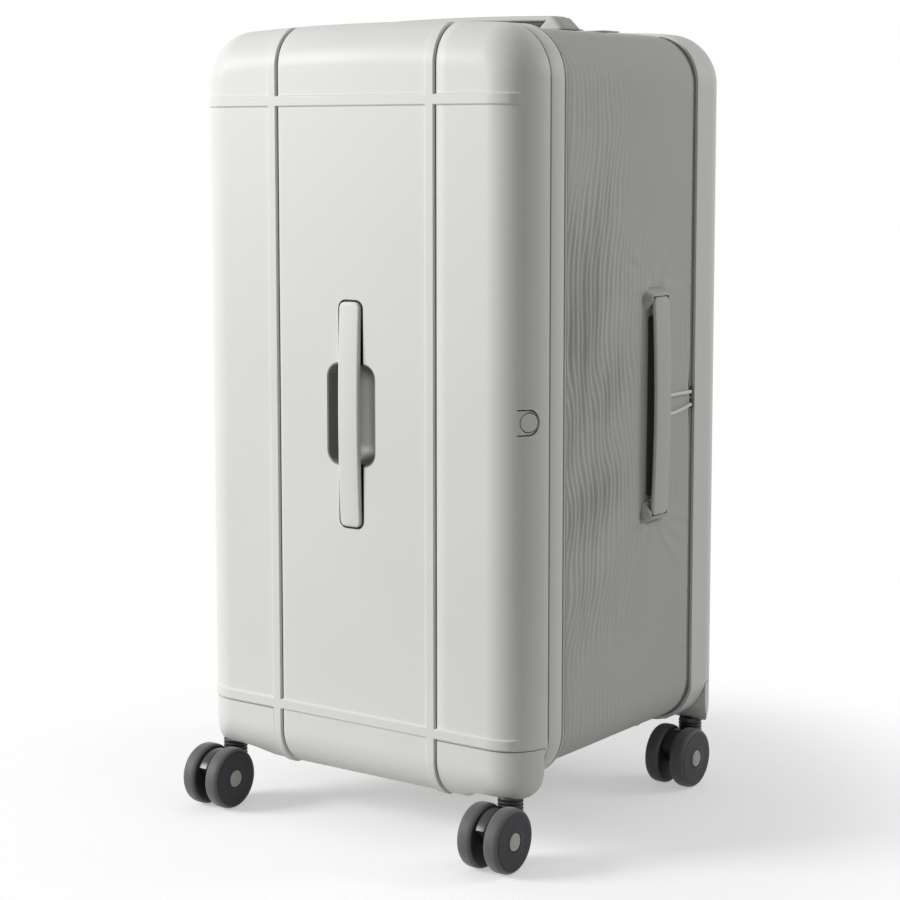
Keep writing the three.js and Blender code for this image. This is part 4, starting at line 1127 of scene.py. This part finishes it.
def gusset_height(x, y, z, run):
    from_edge = np.minimum(y - GUSSET_START, GUSSET_END - y)
    form = -SEAM_SINK * np.exp(-(y - GUSSET_START) / 0.0030)
    side = np.clip((np.abs(x) - 0.150) / 0.030, 0, 1)
    sway = 0.0120 * wander(z, y * 0.35, 3, 0.24) + 0.0034 * wander(z, y, 8, 0.07)
    front = bump_at(y - 0.112, 0.062) + 0.06
    waves = np.sin(FULL_TURN * (y + sway) / WAVE_PITCH) * front
    waves += 0.35 * np.sin(FULL_TURN * (y + 1.6 * sway + 0.002) / CROSS_PITCH) * front
    high = 0.07 + 0.93 * bump_at(z - 0.40, 0.20)
    seen = np.where(x > 0, 1.0, 0.45)
    patch = seen * high * np.clip(0.8 + 0.65 * wander(z, y, 5, 0.13), 0.08, 1.35)
    ripples = WAVE_HEIGHT * waves * patch * (0.25 + 0.75 * side) * np.clip(from_edge / 0.006, 0, 1)
    broad = BROAD_HEIGHT * wander(z + x, y, 11, 0.22) * np.clip(from_edge / 0.02, 0, 1)
    along_seam = FULL_TURN * (run + 0.004 * wander(run, y, 21, 0.05)) / PUCKER_PITCH
    pucker = PUCKER_HEIGHT * np.exp(-from_edge / 0.006) * np.sin(along_seam)
    return form + ripples + broad + pucker


print("ripples up to", WAVE_HEIGHT, "m high")

# %% [markdown]
# Fabric draws up wherever something is sewn down on it. Creases fan out from the outer corners of the
# side grip's two mounts, and gathers run forward from the zip pulls. Both are rays: each has a
# direction, a width and a reach, and a low valley beside its ridge.

# %% Creases and gathers
MOUNT_Y, MOUNTS = 0.225, ((0.507, 1), (0.286, -1))
CREASES = ((0.1, 0.05, 0.0035), (0.45, 0.045, 0.004), (0.85, 0.04, 0.0045), (-0.25, 0.035, 0.003))
PULLS_Z = 0.3975
GATHERS = ((0.9, 1.0), (0.45, 0.7), (-0.5, 0.8), (-0.95, 1.0), (1.25, 0.7), (-1.2, 0.7))


def creases_by_mount(x, y, z):
    height = np.zeros_like(y)
    near_side = (x > 0.15)
    rays = [(mount, place, crease, way) for mount in MOUNTS for place, crease in enumerate(CREASES)
            for way in (1, -1)]
    for (mount_z, lean), place, (tilt_up, reach, spread), way in rays:
        dy = (y - MOUNT_Y) * way - 0.012
        dz = (z - mount_z) * lean
        along = dy * math.cos(tilt_up) + dz * math.sin(tilt_up)
        off = -dy * math.sin(tilt_up) + dz * math.cos(tilt_up) - 0.002 * place
        fade = np.clip(along / 0.006, 0, 1) * np.exp(-np.clip(along, 0, 1) / reach)
        valley = 0.0007 * bump_at(off - spread * 1.6, spread)
        height += near_side * fade * (0.0010 * bump_at(off, spread) - valley)
    return height


def gathers_at_pulls(x, y, z):
    height = np.zeros_like(y)
    near_side = (x > 0.15)
    behind = np.clip(GUSSET_END - y, 0, 1)
    for tilt_up, size in GATHERS:
        off = (z - PULLS_Z) * math.cos(tilt_up) - behind * math.sin(tilt_up)
        along = behind * math.cos(tilt_up) + (z - PULLS_Z) * math.sin(tilt_up)
        fade = np.clip(along / 0.004, 0, 1) * np.exp(-np.clip(along, 0, 1) / 0.022)
        valley = 0.0006 * bump_at(off - 0.0045, 0.003)
        height += near_side * size * fade * (0.0009 * bump_at(off, 0.0026) - valley)
    pinch = near_side * bump_at(z - PULLS_Z, 0.024) * np.exp(-behind / 0.007)
    return 1.3 * height - 0.0016 * pinch


print(2 * len(MOUNTS) * len(CREASES), "creases and", len(GATHERS), "gathers")

# %% [markdown]
# The gusset is then one ring-shaped grid, fine enough for the ripples, with the inner layer smooth.
# Its edges round over into the seams. The legs of the two outer grips pass through it, so the cells
# where they stand are left out.

# %% Padded gusset
PAD = 0.0065
LEGS_FROM_MIDDLE, LEG_HOLE_LONG, LEG_HOLE_WIDE = 0.094, 0.0058, 0.0066
TOP_GRIP_Y = 0.190


def gusset_grid():
    near = np.array([0, 0.0003, 0.001, 0.002, 0.0034, 0.005])
    middle = np.linspace(GUSSET_START + 0.0065, GUSSET_END - 0.0065, 190)
    y = np.concatenate([GUSSET_START + near, middle, GUSSET_END - near[::-1]])
    outer = np.zeros((len(y), len(soft_run), 3))
    inner = np.zeros_like(outer)
    for row, depth in enumerate(y):
        outer[row] = on_path(soft_path, 0.0, depth, gusset_half)
        spots = outer[row].T.copy()
        lift = gusset_height(*spots, soft_run) + creases_by_mount(*spots) + gathers_at_pulls(*spots)
        lift -= 0.0012 * np.exp(-np.minimum(depth - GUSSET_START, GUSSET_END - depth) / 0.0007)
        outer[row, :, 0] += lift * soft_path[:, 2]
        outer[row, :, 2] += lift * soft_path[:, 3]
        inner[row] = on_path(soft_path, PAD, depth, gusset_half)
    cloth = np.stack(np.broadcast_arrays(soft_run[None, :], y[:, None]), -1)
    return outer, inner, cloth


def leg_holes(outer):
    middle = (outer[:-1] + outer[1:]) / 2
    middle = (middle + np.roll(middle, -1, 1)) / 2
    x, y, z = middle[..., 0], middle[..., 1], middle[..., 2]
    side_leg = abs(abs(z - GRIP_Z) - LEGS_FROM_MIDDLE) < LEG_HOLE_LONG
    on_side = (x > 0.18) & (abs(y - MOUNT_Y) < LEG_HOLE_WIDE) & side_leg
    top_leg = abs(abs(x) - LEGS_FROM_MIDDLE) < LEG_HOLE_LONG
    on_top = (z > 0.72) & (abs(y - TOP_GRIP_Y) < LEG_HOLE_WIDE) & top_leg
    return on_side | on_top


outer, inner, cloth = gusset_grid()
gusset = thick_sheet("padded_gusset", outer, inner, ~leg_holes(outer), wrap=True, sharp=60, cloth=cloth)
dress(gusset, FABRIC, "main_body", ["fabric_gusset"])
print("gusset faces", len(gusset.data.polygons))

# %% [markdown]
# A zip is hundreds of equal teeth on a line, which is work for Geometry Nodes: the outline becomes a
# curve, points are set along it at an even pitch and a small block is placed on each one, turned to
# the line. The same tree sews the stitches on the linings with other numbers.

# %% Tree for rows of blocks
def row_of_blocks_tree():
    tree = bpy.data.node_groups.new("row_of_blocks", "GeometryNodeTree")
    sockets = [("Line", "Geometry", None), ("Pitch", "Float", 0.002), ("Along", "Float", 0.001),
               ("Across", "Float", 0.001), ("High", "Float", 0.001), ("Finish", "Material", None)]
    for label, kind, value in sockets:
        socket = tree.interface.new_socket(label, in_out="INPUT", socket_type="NodeSocket" + kind)
        if value is not None:
            socket.default_value = value
    tree.interface.new_socket("Blocks", in_out="OUTPUT", socket_type="NodeSocketGeometry")
    given = add_node(tree, "NodeGroupInput").outputs
    curve = add_node(tree, "GeometryNodeMeshToCurve", {"Mesh": given["Line"]})
    points = add_node(tree, "GeometryNodeCurveToPoints",
                      {"Curve": curve.outputs[0], "Length": given["Pitch"]}, mode="LENGTH")
    size = add_node(tree, "ShaderNodeCombineXYZ",
                    {"X": given["Along"], "Y": given["Across"], "Z": given["High"]})
    tooth = add_node(tree, "GeometryNodeMeshCube", {"Size": size.outputs[0]})
    ahead = add_node(tree, "FunctionNodeAlignRotationToVector",
                     {"Vector": points.outputs["Tangent"]}, axis="X")
    level = add_node(tree, "FunctionNodeAlignRotationToVector",
                     {"Rotation": ahead.outputs[0], "Vector": (0.0, 1.0, 0.0)},
                     axis="Y", pivot_axis="X")
    placed = add_node(tree, "GeometryNodeInstanceOnPoints", {
        "Points": points.outputs["Points"], "Instance": tooth.outputs["Mesh"],
        "Rotation": level.outputs[0]})
    real = add_node(tree, "GeometryNodeRealizeInstances", {"Geometry": placed.outputs[0]})
    painted = add_node(tree, "GeometryNodeSetMaterial",
                       {"Geometry": real.outputs[0], "Material": given["Finish"]})
    add_node(tree, "NodeGroupOutput", {"Blocks": painted.outputs[0]})
    return tree


BLOCK_ROW = row_of_blocks_tree()
print("the tree has", len(BLOCK_ROW.nodes), "nodes")

# %% [markdown]
# A row is made by giving the tree a closed line and its sizes, and taking the finished mesh. Each zip
# half is a tape, sewn to its cloth, with a row of teeth on the tape's outer side. The two rows meet in
# the seam behind the gusset.

# %% Zip halves
def row_of_blocks(name, line, finish, **sizes):
    mesh = bpy.data.meshes.new(name)
    edges = [(i, (i + 1) % len(line)) for i in range(len(line))]
    mesh.from_pydata((np.asarray(line, float) + ORIGIN).tolist(), edges, [])
    row = bpy.data.objects.new(name, mesh)
    scene.collection.objects.link(row)
    step = row.modifiers.new("blocks", "NODES")
    step.node_group = BLOCK_ROW
    values = {**sizes, "Finish": finish}
    for item in BLOCK_ROW.interface.items_tree:
        if item.in_out == "INPUT" and item.name in values:
            step[item.identifier] = values[item.name]
    mesh = evaluated_mesh(row)
    mesh.shade_flat()
    print(name, "has", len(mesh.polygons) // 6, "blocks")
    return row


def zip_half(name, start, body, node):
    end = start + 0.0017
    tape = [(start, 0.0013), (end, 0.0013), (end, 0.0044), (start, 0.0044)]
    dress(ring_piece(name + "_tape", soft_path, tape), TAPE, body, [node])
    line = on_path(soft_path, 0.0012, start + 0.00085, gusset_half)
    teeth = row_of_blocks(name + "_teeth", line, TAPE,
                          Pitch=0.0022, Along=0.0013, Across=0.0015, High=0.0009)
    dress(teeth, TAPE, body)


zip_half("gusset_zip", 0.2947, "main_body", "gusset_zip")
zip_half("back_zip", 0.2967, "rear_shell", "back_shell_zip")

# %% [markdown]
# All three grips are one part in three places: a bar with rounded ends and edges, slightly bowed, on
# two legs that let it be drawn out a little. The bar is lofted through sections along its length; near
# an end the sections narrow as the end's rounding asks.

# %% Grip bar
GRIP_LONG, GRIP_WIDE = 0.208, 0.0235
BAR_END, BAR_EDGE = 0.006, 0.0019
LEG_FROM_END = 0.010


def drawn_in(to_end, radius):
    return radius - math.sqrt(max(radius ** 2 - (radius - min(to_end, radius)) ** 2, 0))


def bar_section(x, rise, bow, thick, wide):
    half = GRIP_LONG / 2
    narrow, sink = (drawn_in(half - abs(x), radius) for radius in (BAR_END, BAR_EDGE))
    top = rise + bow * (1 - (x / half) ** 2)
    tall = thick - 2 * sink * 0.9
    loop = rounded_loop(wide - 2 * narrow, tall, min(BAR_EDGE, tall / 2.05), 6)
    return [(x, across, top - thick / 2 + up) for across, up in loop]


def grip_bar(name, rise, bow, foot, place, thick=0.0055, wide=GRIP_WIDE):
    half = GRIP_LONG / 2
    ends = np.array([0, 0.00015, 0.0005, 0.001, 0.0017, 0.0026, 0.0038, 0.0052, 0.007])
    xs = np.concatenate([-half + ends, np.linspace(-half + 0.012, half - 0.012, 33), half - ends[::-1]])
    parts = [loft(name, [place(bar_section(x, rise, bow, thick, wide)) for x in xs])]
    for x in (-half + LEG_FROM_END, half - LEG_FROM_END):
        section = rounded_loop(0.0096, 0.0116, 0.0012, 3)
        loops = [[(x + a, b, h) for a, b in section] for h in (foot, rise - thick + 0.001)]
        parts.append(loft("leg", [place(loop) for loop in loops]))
    return joined(name, parts)


print("grips are", GRIP_LONG, "m long")

# %% [markdown]
# Each place has a frame of its own: x along the bar, y across it and z out of the case. The front bar
# is hard and lies in its cup. The side bar is thin and soft, and the top one has a dark core below,
# like the sprung strap in such a grip.

# %% The three bars
SIDE_RISE, TOP_RISE, SIDE_WIDE = 0.0097, 0.0130, 0.0270
SIDE_GRIP_Y, TOP_SEAT = 0.2232, 0.0055
CORE_LONG, CORE_WIDE = 0.186, 0.0150


def front_place(points):
    return in_frame(points, (0, 0, GRIP_Z), (0, 0, 1), (-1, 0, 0), (0, -1, 0))


def side_place(points):
    return in_frame(points, (gusset_half, SIDE_GRIP_Y, GRIP_Z), (0, 0, 1), (0, -1, 0), (1, 0, 0))


def top_place(points):
    seat = (0, TOP_GRIP_Y, TOP - SOFT_INSET + TOP_SEAT)
    return in_frame(points, seat, (1, 0, 0), (0, 1, 0), (0, 0, 1))


front_bar = grip_bar("front_grip_bar", 0.0025, 0.003, -0.017, front_place)
dress(front_bar, GRIP, "front_grip", ["front_grip"])
side_bar = grip_bar("side_grip_bar", SIDE_RISE, 0.0032, -0.017, side_place, 0.0038, SIDE_WIDE)
dress(side_bar, SOFT_GRIP, "side_grip", ["side_grip"])
top_bar = grip_bar("top_grip_bar", TOP_RISE, 0.0017, -0.020, top_place, 0.0050)
dress(top_bar, SOFT_GRIP, "top_grip", ["top_grip"])
core = [[(a, b, TOP_RISE - under)
         for a, b in rounded_loop(CORE_LONG - 2 * inset, CORE_WIDE - 2 * inset, 0.003, 4)]
        for under, inset in ((0.0094, 0.0012), (0.0086, 0.0), (0.0046, 0.0))]
dress(loft("top_grip_underside", [top_place(loop) for loop in core]), DARK, "top_grip")
print("bars at the front, the side and the top")

# %% [markdown]
# At each end of the side and top grips a sloped block, covered in the gusset's fabric, holds the bar's
# end in a pocket. The block is a rounded pad that leans in toward its top, and plain cutters make the
# pocket and the slot for the leg.

# %% Grip mounts
SIDE_CLOTH, TOP_CLOTH = ((0, 1, 0), (0, 0, 1)), ((1, 0, 0), (0, 1, 0))
POCKET_FLOOR, POCKET_GAP = 0.0023, 0.0008
MOUNT_SLOPE = ((0.45, 0.4, 0.0006), (0.75, 0.72, 0.0012), (0.93, 0.92, 0.0022), (1.0, 1.0, 0.0036))


def unwrapped(piece, axes):
    layer = piece.data.uv_layers.new(name="cloth")
    right, up = (Vector(axis) for axis in axes)
    for loop in piece.data.loops:
        spot = piece.data.vertices[loop.vertex_index].co
        layer.data[loop.index].uv = (spot.dot(right), spot.dot(up))
    return piece


def grip_mount(name, rise, place, end, axes, wide, reach, beyond):
    far = GRIP_LONG / 2
    height = rise - 0.001
    base_low, base_high = far - reach, far + beyond
    levels = [(0.0003, 0.0, 0.0), (0.0014, 0.0, 0.0)]
    levels += [(height * share, lean, inset) for share, lean, inset in MOUNT_SLOPE]
    rings = []
    for h, lean, inset in levels:
        high = base_high - lean * (base_high - far - 0.0035) - inset * 0.6
        low = base_low + inset + lean * reach / 2
        loop = rounded_loop(high - low, wide + 0.0100 - 2 * inset, min(0.0062, (high - low) * 0.47), 7)
        rings.append(place([(end * ((high + low) / 2 + a), b, h) for a, b in loop]))
    mount = loft(name, rings, sharp=50)
    half, near = wide / 2 + POCKET_GAP, base_low - 0.004
    corners = ((near, -half), (near, half), (far + POCKET_GAP, half), (far + POCKET_GAP, -half))
    pocket = [place([(end * x, b, h) for x, b in corners]) for h in (POCKET_FLOOR, rise + 0.01)]
    carve(mount, loft("pocket", pocket), sharp=50)
    hole = rounded_loop(0.0112, 0.0132, 0.0014, 3)
    slot = [place([(end * (far - LEG_FROM_END) + a, b, h) for a, b in hole]) for h in (-0.004, 0.006)]
    carve(mount, loft("leg_slot", slot), sharp=50)
    dress(unwrapped(mount, axes), FABRIC, "main_body", [name.replace("_block", "")])


for level, end in (("upper", 1), ("lower", -1)):
    grip_mount(f"side_grip_{level}_mount_block", SIDE_RISE, side_place, end, SIDE_CLOTH, SIDE_WIDE,
               reach=0.013, beyond=0.0062)
for side_name, end in (("right", 1), ("left", -1)):
    grip_mount(f"top_grip_{side_name}_mount_block", TOP_RISE, top_place, end, TOP_CLOTH, GRIP_WIDE,
               reach=0.017, beyond=0.0128)
print("four mounts of height", round(SIDE_RISE - 0.001, 4), "and", round(TOP_RISE - 0.001, 4))

# %% [markdown]
# A sewn edge runs round three sides of each block: a flat strip swept along a line with two rounded
# corners. A dark cloth patch under the side bar, where the hand goes in, is painted shade for the gap
# below the bar.

# %% Sewn edges and a painted shade patch
def sewn_edge(place, end, half, beyond):
    far, bend = GRIP_LONG / 2, 0.006
    path = [(far - 0.004, -half, 0.0, -1.0)]
    for centre, start in ((-1, -90), (1, 0)):
        for step in range(9):
            angle = math.radians(start + 90 * step / 8)
            a, b = math.cos(angle), math.sin(angle)
            path.append((far + beyond - bend + bend * a, centre * (half - bend) + bend * b, a, b))
    path.append((far - 0.004, half, 0.0, 1.0))
    strip = ((0.0, 0.0002), (0.0003, 0.0009), (-0.0006, 0.0009), (-0.0010, 0.0002))
    return loft("edge", [place([(end * (x + out * a), b + out * c, h) for out, h in strip])
                         for x, b, a, c in path])


sewn = [sewn_edge(place, end, half, beyond) for place, half, beyond in
        ((side_place, 0.0206, 0.0088), (top_place, 0.0193, 0.0150)) for end in (1, -1)]
dress(joined("mount_sewn_edges", sewn), TAPE, "main_body")
layers = [[(a, b, h) for a, b in rounded_loop(0.172 - 2 * inset, 0.0215 - 2 * inset, 0.004 - inset, 5)]
          for h, inset in ((-0.0004, 0.0), (0.0008, 0.0), (0.0011, 0.0004))]
# A dark cloth sheet under the side bar: painted shade for the gap beneath it.
patch = unwrapped(loft("side_grip_patch", [side_place(loop) for loop in layers]), SIDE_CLOTH)
dress(patch, GRIP_GAP_SHADE, "main_body")
print(len(sewn), "sewn edges and a patch")

# %% [markdown]
# Each zip slider has a short cord pull that lies forward over the fabric. The cords are drawn as bars
# because they swing as stiff pieces: a round section swept along a gently falling line.

# %% Zip sliders and pulls
SLIDER_X, SLIDER_Y, SLIDER_HALF = (0.1864, 0.1893), (0.2949, 0.2985), 0.0043
PULL_X, PULL_START, PULL_LONG, PULL_RADIUS = 0.1903, 0.2932, 0.0460, 0.0017


def tube_along(name, line, radius, steps=10):
    line = np.asarray(line, float)
    ahead = np.gradient(line, axis=0)
    ahead /= np.linalg.norm(ahead, axis=1)[:, None]
    side = np.array([1.0, 0, 0])
    angles = np.linspace(0, 2 * math.pi, steps, endpoint=False)
    sections = []
    for spot, along, size in zip(line, ahead, radius):
        up = np.cross(along, side)
        sections.append([spot + size * (math.cos(a) * side + math.sin(a) * up) for a in angles])
    return loft(name, sections)


for level, z, drop in (("upper", 0.4035, 0.0), ("lower", 0.3915, 0.006)):
    slider, pull = f"{level}_zip_slider", f"{level}_zip_pull"
    body = block(f"{level}_slider_body", SLIDER_X, SLIDER_Y, (z - SLIDER_HALF, z + SLIDER_HALF))
    soft_edges = body.modifiers.new("soft_edges", "BEVEL")
    soft_edges.width = 0.0007
    soft_edges.segments = 3
    dress(body, DARK, slider, [slider])
    share = np.linspace(0, 1, 26)
    line = [(PULL_X, PULL_START - PULL_LONG * s, z - drop * math.sin(s * math.pi / 2)) for s in share]
    radius = [PULL_RADIUS * min(1.0, 0.35 + 30 * min(s, 1 - s)) for s in share]
    dress(tube_along(f"{level}_pull_cord", line, radius), CORD, pull, [pull])
print("two sliders, pulls", PULL_LONG, "m long")

# %% [markdown]
# Twin-wheel casters have two wheels on one axle behind the swivel, with an arched cover between them.
# A wheel is a nylon disc in a soft tread, so its turned profile, spun about the axle, is one mesh with
# two finishes. The same profile serves all eight wheels.

# %% Wheels
RADIUS, TRAIL = 0.0295, 0.025
TREAD_FROM = 0.0272
WHEEL_PROFILE = [(0.0061, 0.0034), (0.0061, 0.0235), (0.0063, 0.0256), (0.0070, 0.0274),
                 (0.0082, 0.0286), (0.0098, 0.0293), (0.0118, 0.0295), (0.0164, 0.0295),
                 (0.0185, 0.0293), (0.0201, 0.0287), (0.0212, 0.0278), (0.0218, 0.0268),
                 (0.0221, 0.0257), (0.0222, 0.0245), (0.0222, 0.0215), (0.0221, 0.0160),
                 (0.0222, 0.0135), (0.0224, 0.0110), (0.0226, 0.0099), (0.0226, 0.0089),
                 (0.0208, 0.0088), (0.0208, 0.0034)]


def turned_across(name, profile, spot, steps=64, sharp=38):
    angles = np.linspace(0, 2 * math.pi, steps, endpoint=False)
    rings = [[(spot[0] + x, spot[1] + r * math.sin(a), spot[2] + r * math.cos(a)) for x, r in profile]
             for a in angles]
    return loft(name, rings, endless=True, sharp=sharp)


def caster_wheel(name, spot, side, node):
    wheel = turned_across(name, [(side * x, r) for x, r in WHEEL_PROFILE], spot, sharp=30)
    wheel.data.materials.append(TYRE)
    wheel.data.materials.append(WHEEL)
    centre = Vector(np.asarray(spot) + ORIGIN)
    for face in wheel.data.polygons:
        reach = math.hypot(face.center.y - centre.y, face.center.z - centre.z)
        face.material_index = 0 if reach > TREAD_FROM else 1
    dress(wheel, TYRE, node, [node])


print("wheel radius", RADIUS, "behind the swivel by", TRAIL)

# %% [markdown]
# A cap closes each end of the axle, a shallow disc with six small dots for the tool that turns it.
# Both caps and the axle between them are one turned piece, so its profile is half of a closed one and
# the mirror of that half.

# %% Axle caps
CAP_PROFILE = [(0.0209, 0.0029), (0.0209, 0.0080), (0.0214, 0.0083), (0.0221, 0.0082),
               (0.0224, 0.0079), (0.0224, 0.0070), (0.0222, 0.0068), (0.0222, 0.0066),
               (0.0224, 0.0064), (0.0225, 0.0035), (0.02255, 0.00002)]
CAP_FACE = 0.02245
DOT_COUNT, DOT_RING, DOT_RADIUS, DOT_HALF = 6, 0.0042, 0.00042, 0.0002


def caster_cap(name, spot, body, node):
    profile = [(-x, r) for x, r in reversed(CAP_PROFILE)] + CAP_PROFILE
    cap = turned_across(name, profile, spot, steps=48)
    dot = [(-DOT_HALF, 0.00001), (-DOT_HALF, DOT_RADIUS), (DOT_HALF, DOT_RADIUS), (DOT_HALF, 0.00001)]
    dots = []
    for side in (-1, 1):
        for step in range(DOT_COUNT):
            angle = step * math.pi / 3
            place = (spot[0] + side * CAP_FACE, spot[1] + DOT_RING * math.cos(angle),
                     spot[2] + DOT_RING * math.sin(angle))
            dots.append(turned_across("dot", dot, place, steps=10))
    dress(cap, CAP, body, [node])
    dress(joined(name + "_dots", dots), DARK, body)


print("a cap is", 2 * CAP_PROFILE[2][1], "m wide")

# %% [markdown]
# The fork is a ribbed rubber neck round the swivel's stem, and an arched cover that runs down between
# the wheels. The cover's outline is drawn once from the side and given a soft edge by smaller outlines
# toward its two faces.

# %% Forks
COVER_RADIUS = 0.026
COVER_EDGE = [(-0.0057, 0.0016), (-0.0053, 0.0006), (-0.0045, 0.0001), (-0.0035, 0.0), (0.0035, 0.0),
              (0.0045, 0.0001), (0.0053, 0.0006), (0.0057, 0.0016)]
NECK_RIBS = np.arange(0.0452, 0.0620, 0.0034)


def cover_loop(inset):
    radius = COVER_RADIUS - inset
    turns = np.linspace(math.radians(152.5), math.radians(47), 26)
    loop = [(radius * math.cos(a), radius * math.sin(a)) for a in turns]
    loop += [(0.0285 - inset, 0.0190 - inset * 0.3), (0.0300 - inset, 0.0180),
             (0.0285 - inset, 0.0135 + inset), (0.0250 - inset, 0.0120 + inset),
             (0.0060 - inset, -0.0055 + inset), (0.0035, -0.0072 + inset),
             (-0.0035, -0.0072 + inset), (-0.0060 + inset, -0.0055 + inset)]
    return loop


def caster_fork(name, swivel, axle, body, node):
    sections = [[(axle[0] + x, axle[1] + a, axle[2] + b) for a, b in cover_loop(inset)]
                for x, inset in COVER_EDGE]
    dress(loft(name + "_cover", sections, sharp=45), COVER, body)
    rings = [(0.0060, 0.0412), (0.0104, 0.0412), (0.0112, 0.0420), (0.0112, 0.0440)]
    for z in NECK_RIBS:
        rings += [(0.0104, z), (0.0104, z + 0.0009), (0.0116, z + 0.0013), (0.0118, z + 0.0020),
                  (0.0116, z + 0.0027)]
    rings += [(0.0108, 0.0636), (0.0108, 0.0640), (0.0048, 0.0640), (0.0048, 0.0930)]
    neck = turned_upright(name + "_neck", rings, swivel[:2], steps=48, sharp=30)
    dress(neck, DARK, body, [node])


print("the neck has", len(NECK_RIBS), "ribs")

# %% [markdown]
# The four casters differ only in their places. At rest they all trail toward the back, which is how a
# case stands after it has been pushed forward.

# %% The four casters
for end in ("front", "back"):
    for side_name, side in (("left", -1), ("right", 1)):
        caster = f"{end}_{side_name}_caster"
        swivel = (side * SWIVEL_X, SWIVEL_Y if end == "front" else DEPTH - SWIVEL_Y, 0.0)
        axle = (swivel[0], swivel[1] - TRAIL, RADIUS)
        caster_fork(caster, swivel, axle, caster, caster + "_fork")
        caster_cap(caster + "_caps", axle, caster, caster + "_axle")
        for name, way in (("right", 1), ("left", -1)):
            caster_wheel(f"{caster}_{name}_tyre", axle, way, f"{caster}_{name}_wheel")
    print("casters at the", end, "stand at", round(swivel[1], 4))

# %% [markdown]
# The telescopic handle is out of sight in the photograph, and it is made the way such handles are:
# nested tubes on each side, a grip with a push button, and a pale well in the top that the grip rests
# in. The well is a loft down its outer side and up its inner one, with a hole for each pair of tubes.

# %% Telescopic handle
TOP_FACE = TOP + CROWN
WELL_TOP = TOP_FACE + 0.0012
TUBES_X, HOLE_HALF_X, HOLE_HALF_Y = 0.060, 0.0098, 0.0063
well_outer = [(0.160, 0.031, 0.007, WELL_TOP - 0.025), (0.160, 0.031, 0.007, TOP_FACE + 0.0002),
              (0.166, 0.037, 0.010, TOP_FACE + 0.0002), (0.166, 0.037, 0.010, WELL_TOP - 0.0004),
              (0.1652, 0.0362, 0.0096, WELL_TOP)]
well_inner = [(0.1568, 0.0278, 0.0054, WELL_TOP), (0.1560, 0.0270, 0.0050, WELL_TOP - 0.0005),
              (0.1560, 0.0270, 0.0050, WELL_TOP - 0.0230)]
well = loft("handle_well", [[(a, TROLLEY_Y + b, z) for a, b in rounded_loop(wide, deep, corner)]
                            for wide, deep, corner, z in well_outer + well_inner])
for x in (-TUBES_X, TUBES_X):
    carve(well, block("tube_hole", (x - HOLE_HALF_X, x + HOLE_HALF_X),
                      (TROLLEY_Y - HOLE_HALF_Y, TROLLEY_Y + HOLE_HALF_Y), (0.725, 0.736)))
dress(well, SOFT_GRIP, "rear_shell", ["trolley_well"])
handle = upright_pad("handle_grip", 0.148, 0.023, 0.007, [
    (WELL_TOP - 0.020, 0.0012), (WELL_TOP - 0.0192, 0.0003), (WELL_TOP - 0.018, 0.0),
    (WELL_TOP - 0.0022, 0.0), (WELL_TOP - 0.0010, 0.0005), (WELL_TOP - 0.0003, 0.0013),
    (WELL_TOP, 0.0024)])
socket = [(WELL_TOP - 0.0115, 0.0), (WELL_TOP + 0.004, 0.0)]
carve(handle, upright_pad("socket", 0.0268, 0.0118, 0.003, socket))
dress(handle, SOFT_GRIP, "trolley_handle", ["trolley_grip"])
push = upright_pad("handle_button", 0.026, 0.011, 0.0028, [
    (WELL_TOP - 0.006, 0.0), (WELL_TOP + 0.0001, 0.0), (WELL_TOP + 0.0007, 0.0004),
    (WELL_TOP + 0.0010, 0.0012)])
dress(push, GRIP, "trolley_push_button", ["trolley_push_button"])
print("handle rests at", round(WELL_TOP, 4))

# %% [markdown]
# Inside, a fabric lining closes each shell and the frame. Each is a thin board with a soft edge, sewn
# round with a line of stitches from the same tree as the zip's teeth. They are seen only when the case
# is open, but a case that opens on bare plastic wouldn't look finished.

# %% Linings
LINING_THICK, STITCHES_IN, STITCH_OUT = 0.0016, 0.009, 0.0001
FACE_CLOTH = ((1, 0, 0), (0, 0, 1))


def lining(name, y, body, node, inset, facing):
    edge = [(0.0004, inset), (0.0, inset + 0.0005), (0.0, inset + 0.020)]
    near = [on_path(body_path, i, y + d) for d, i in edge]
    far = [on_path(body_path, i, y + LINING_THICK - d) for d, i in edge]
    board = unwrapped(loft(name, near[::-1] + far), FACE_CLOTH)
    dress(board, LINING, body, [node])
    side = y - STITCH_OUT if facing < 0 else y + LINING_THICK + STITCH_OUT
    line = on_path(body_path, inset + STITCHES_IN, side)
    stitches = row_of_blocks(name + "_stitches", line, GRIP,
                             Pitch=0.0052, Along=0.0034, Across=0.0005, High=0.0007)
    dress(stitches, GRIP, body)


lining("door_lining_board", DOOR_END - 0.0018, "front_door", "door_lining", 0.0036, 1)
lining("divider_board", 0.0618, "main_body", "compartment_divider", 0.0034, -1)
lining("back_lining_board", 0.2993, "rear_shell", "back_lining", 0.0036, -1)
print("linings are", LINING_THICK, "m thick")

# %% [markdown]
# The metal pieces that stay from the CAD, such as the hinge, the latch's inside and the tubes, are
# plain plates and bars in reality too. They only need their real finish.

# %% Finishes on the CAD's own metal pieces
def refinish(finish, *names):
    for name in names:
        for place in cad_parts[name].material_slots:
            place.material = finish
    return len(names)


steel = refinish(STEEL, "latch_bolt", "latch_striker", "door_hinge_leaf", "frame_hinge_leaf",
                 "hinge_pin")
tubes = refinish(TUBE, "trolley_outer_tubes", "trolley_left_middle_tube", "trolley_right_middle_tube",
                 "trolley_left_inner_tube", "trolley_right_inner_tube")
refinish(DARK, "latch_case")
print(steel, "steel pieces and", tubes, "tubes")
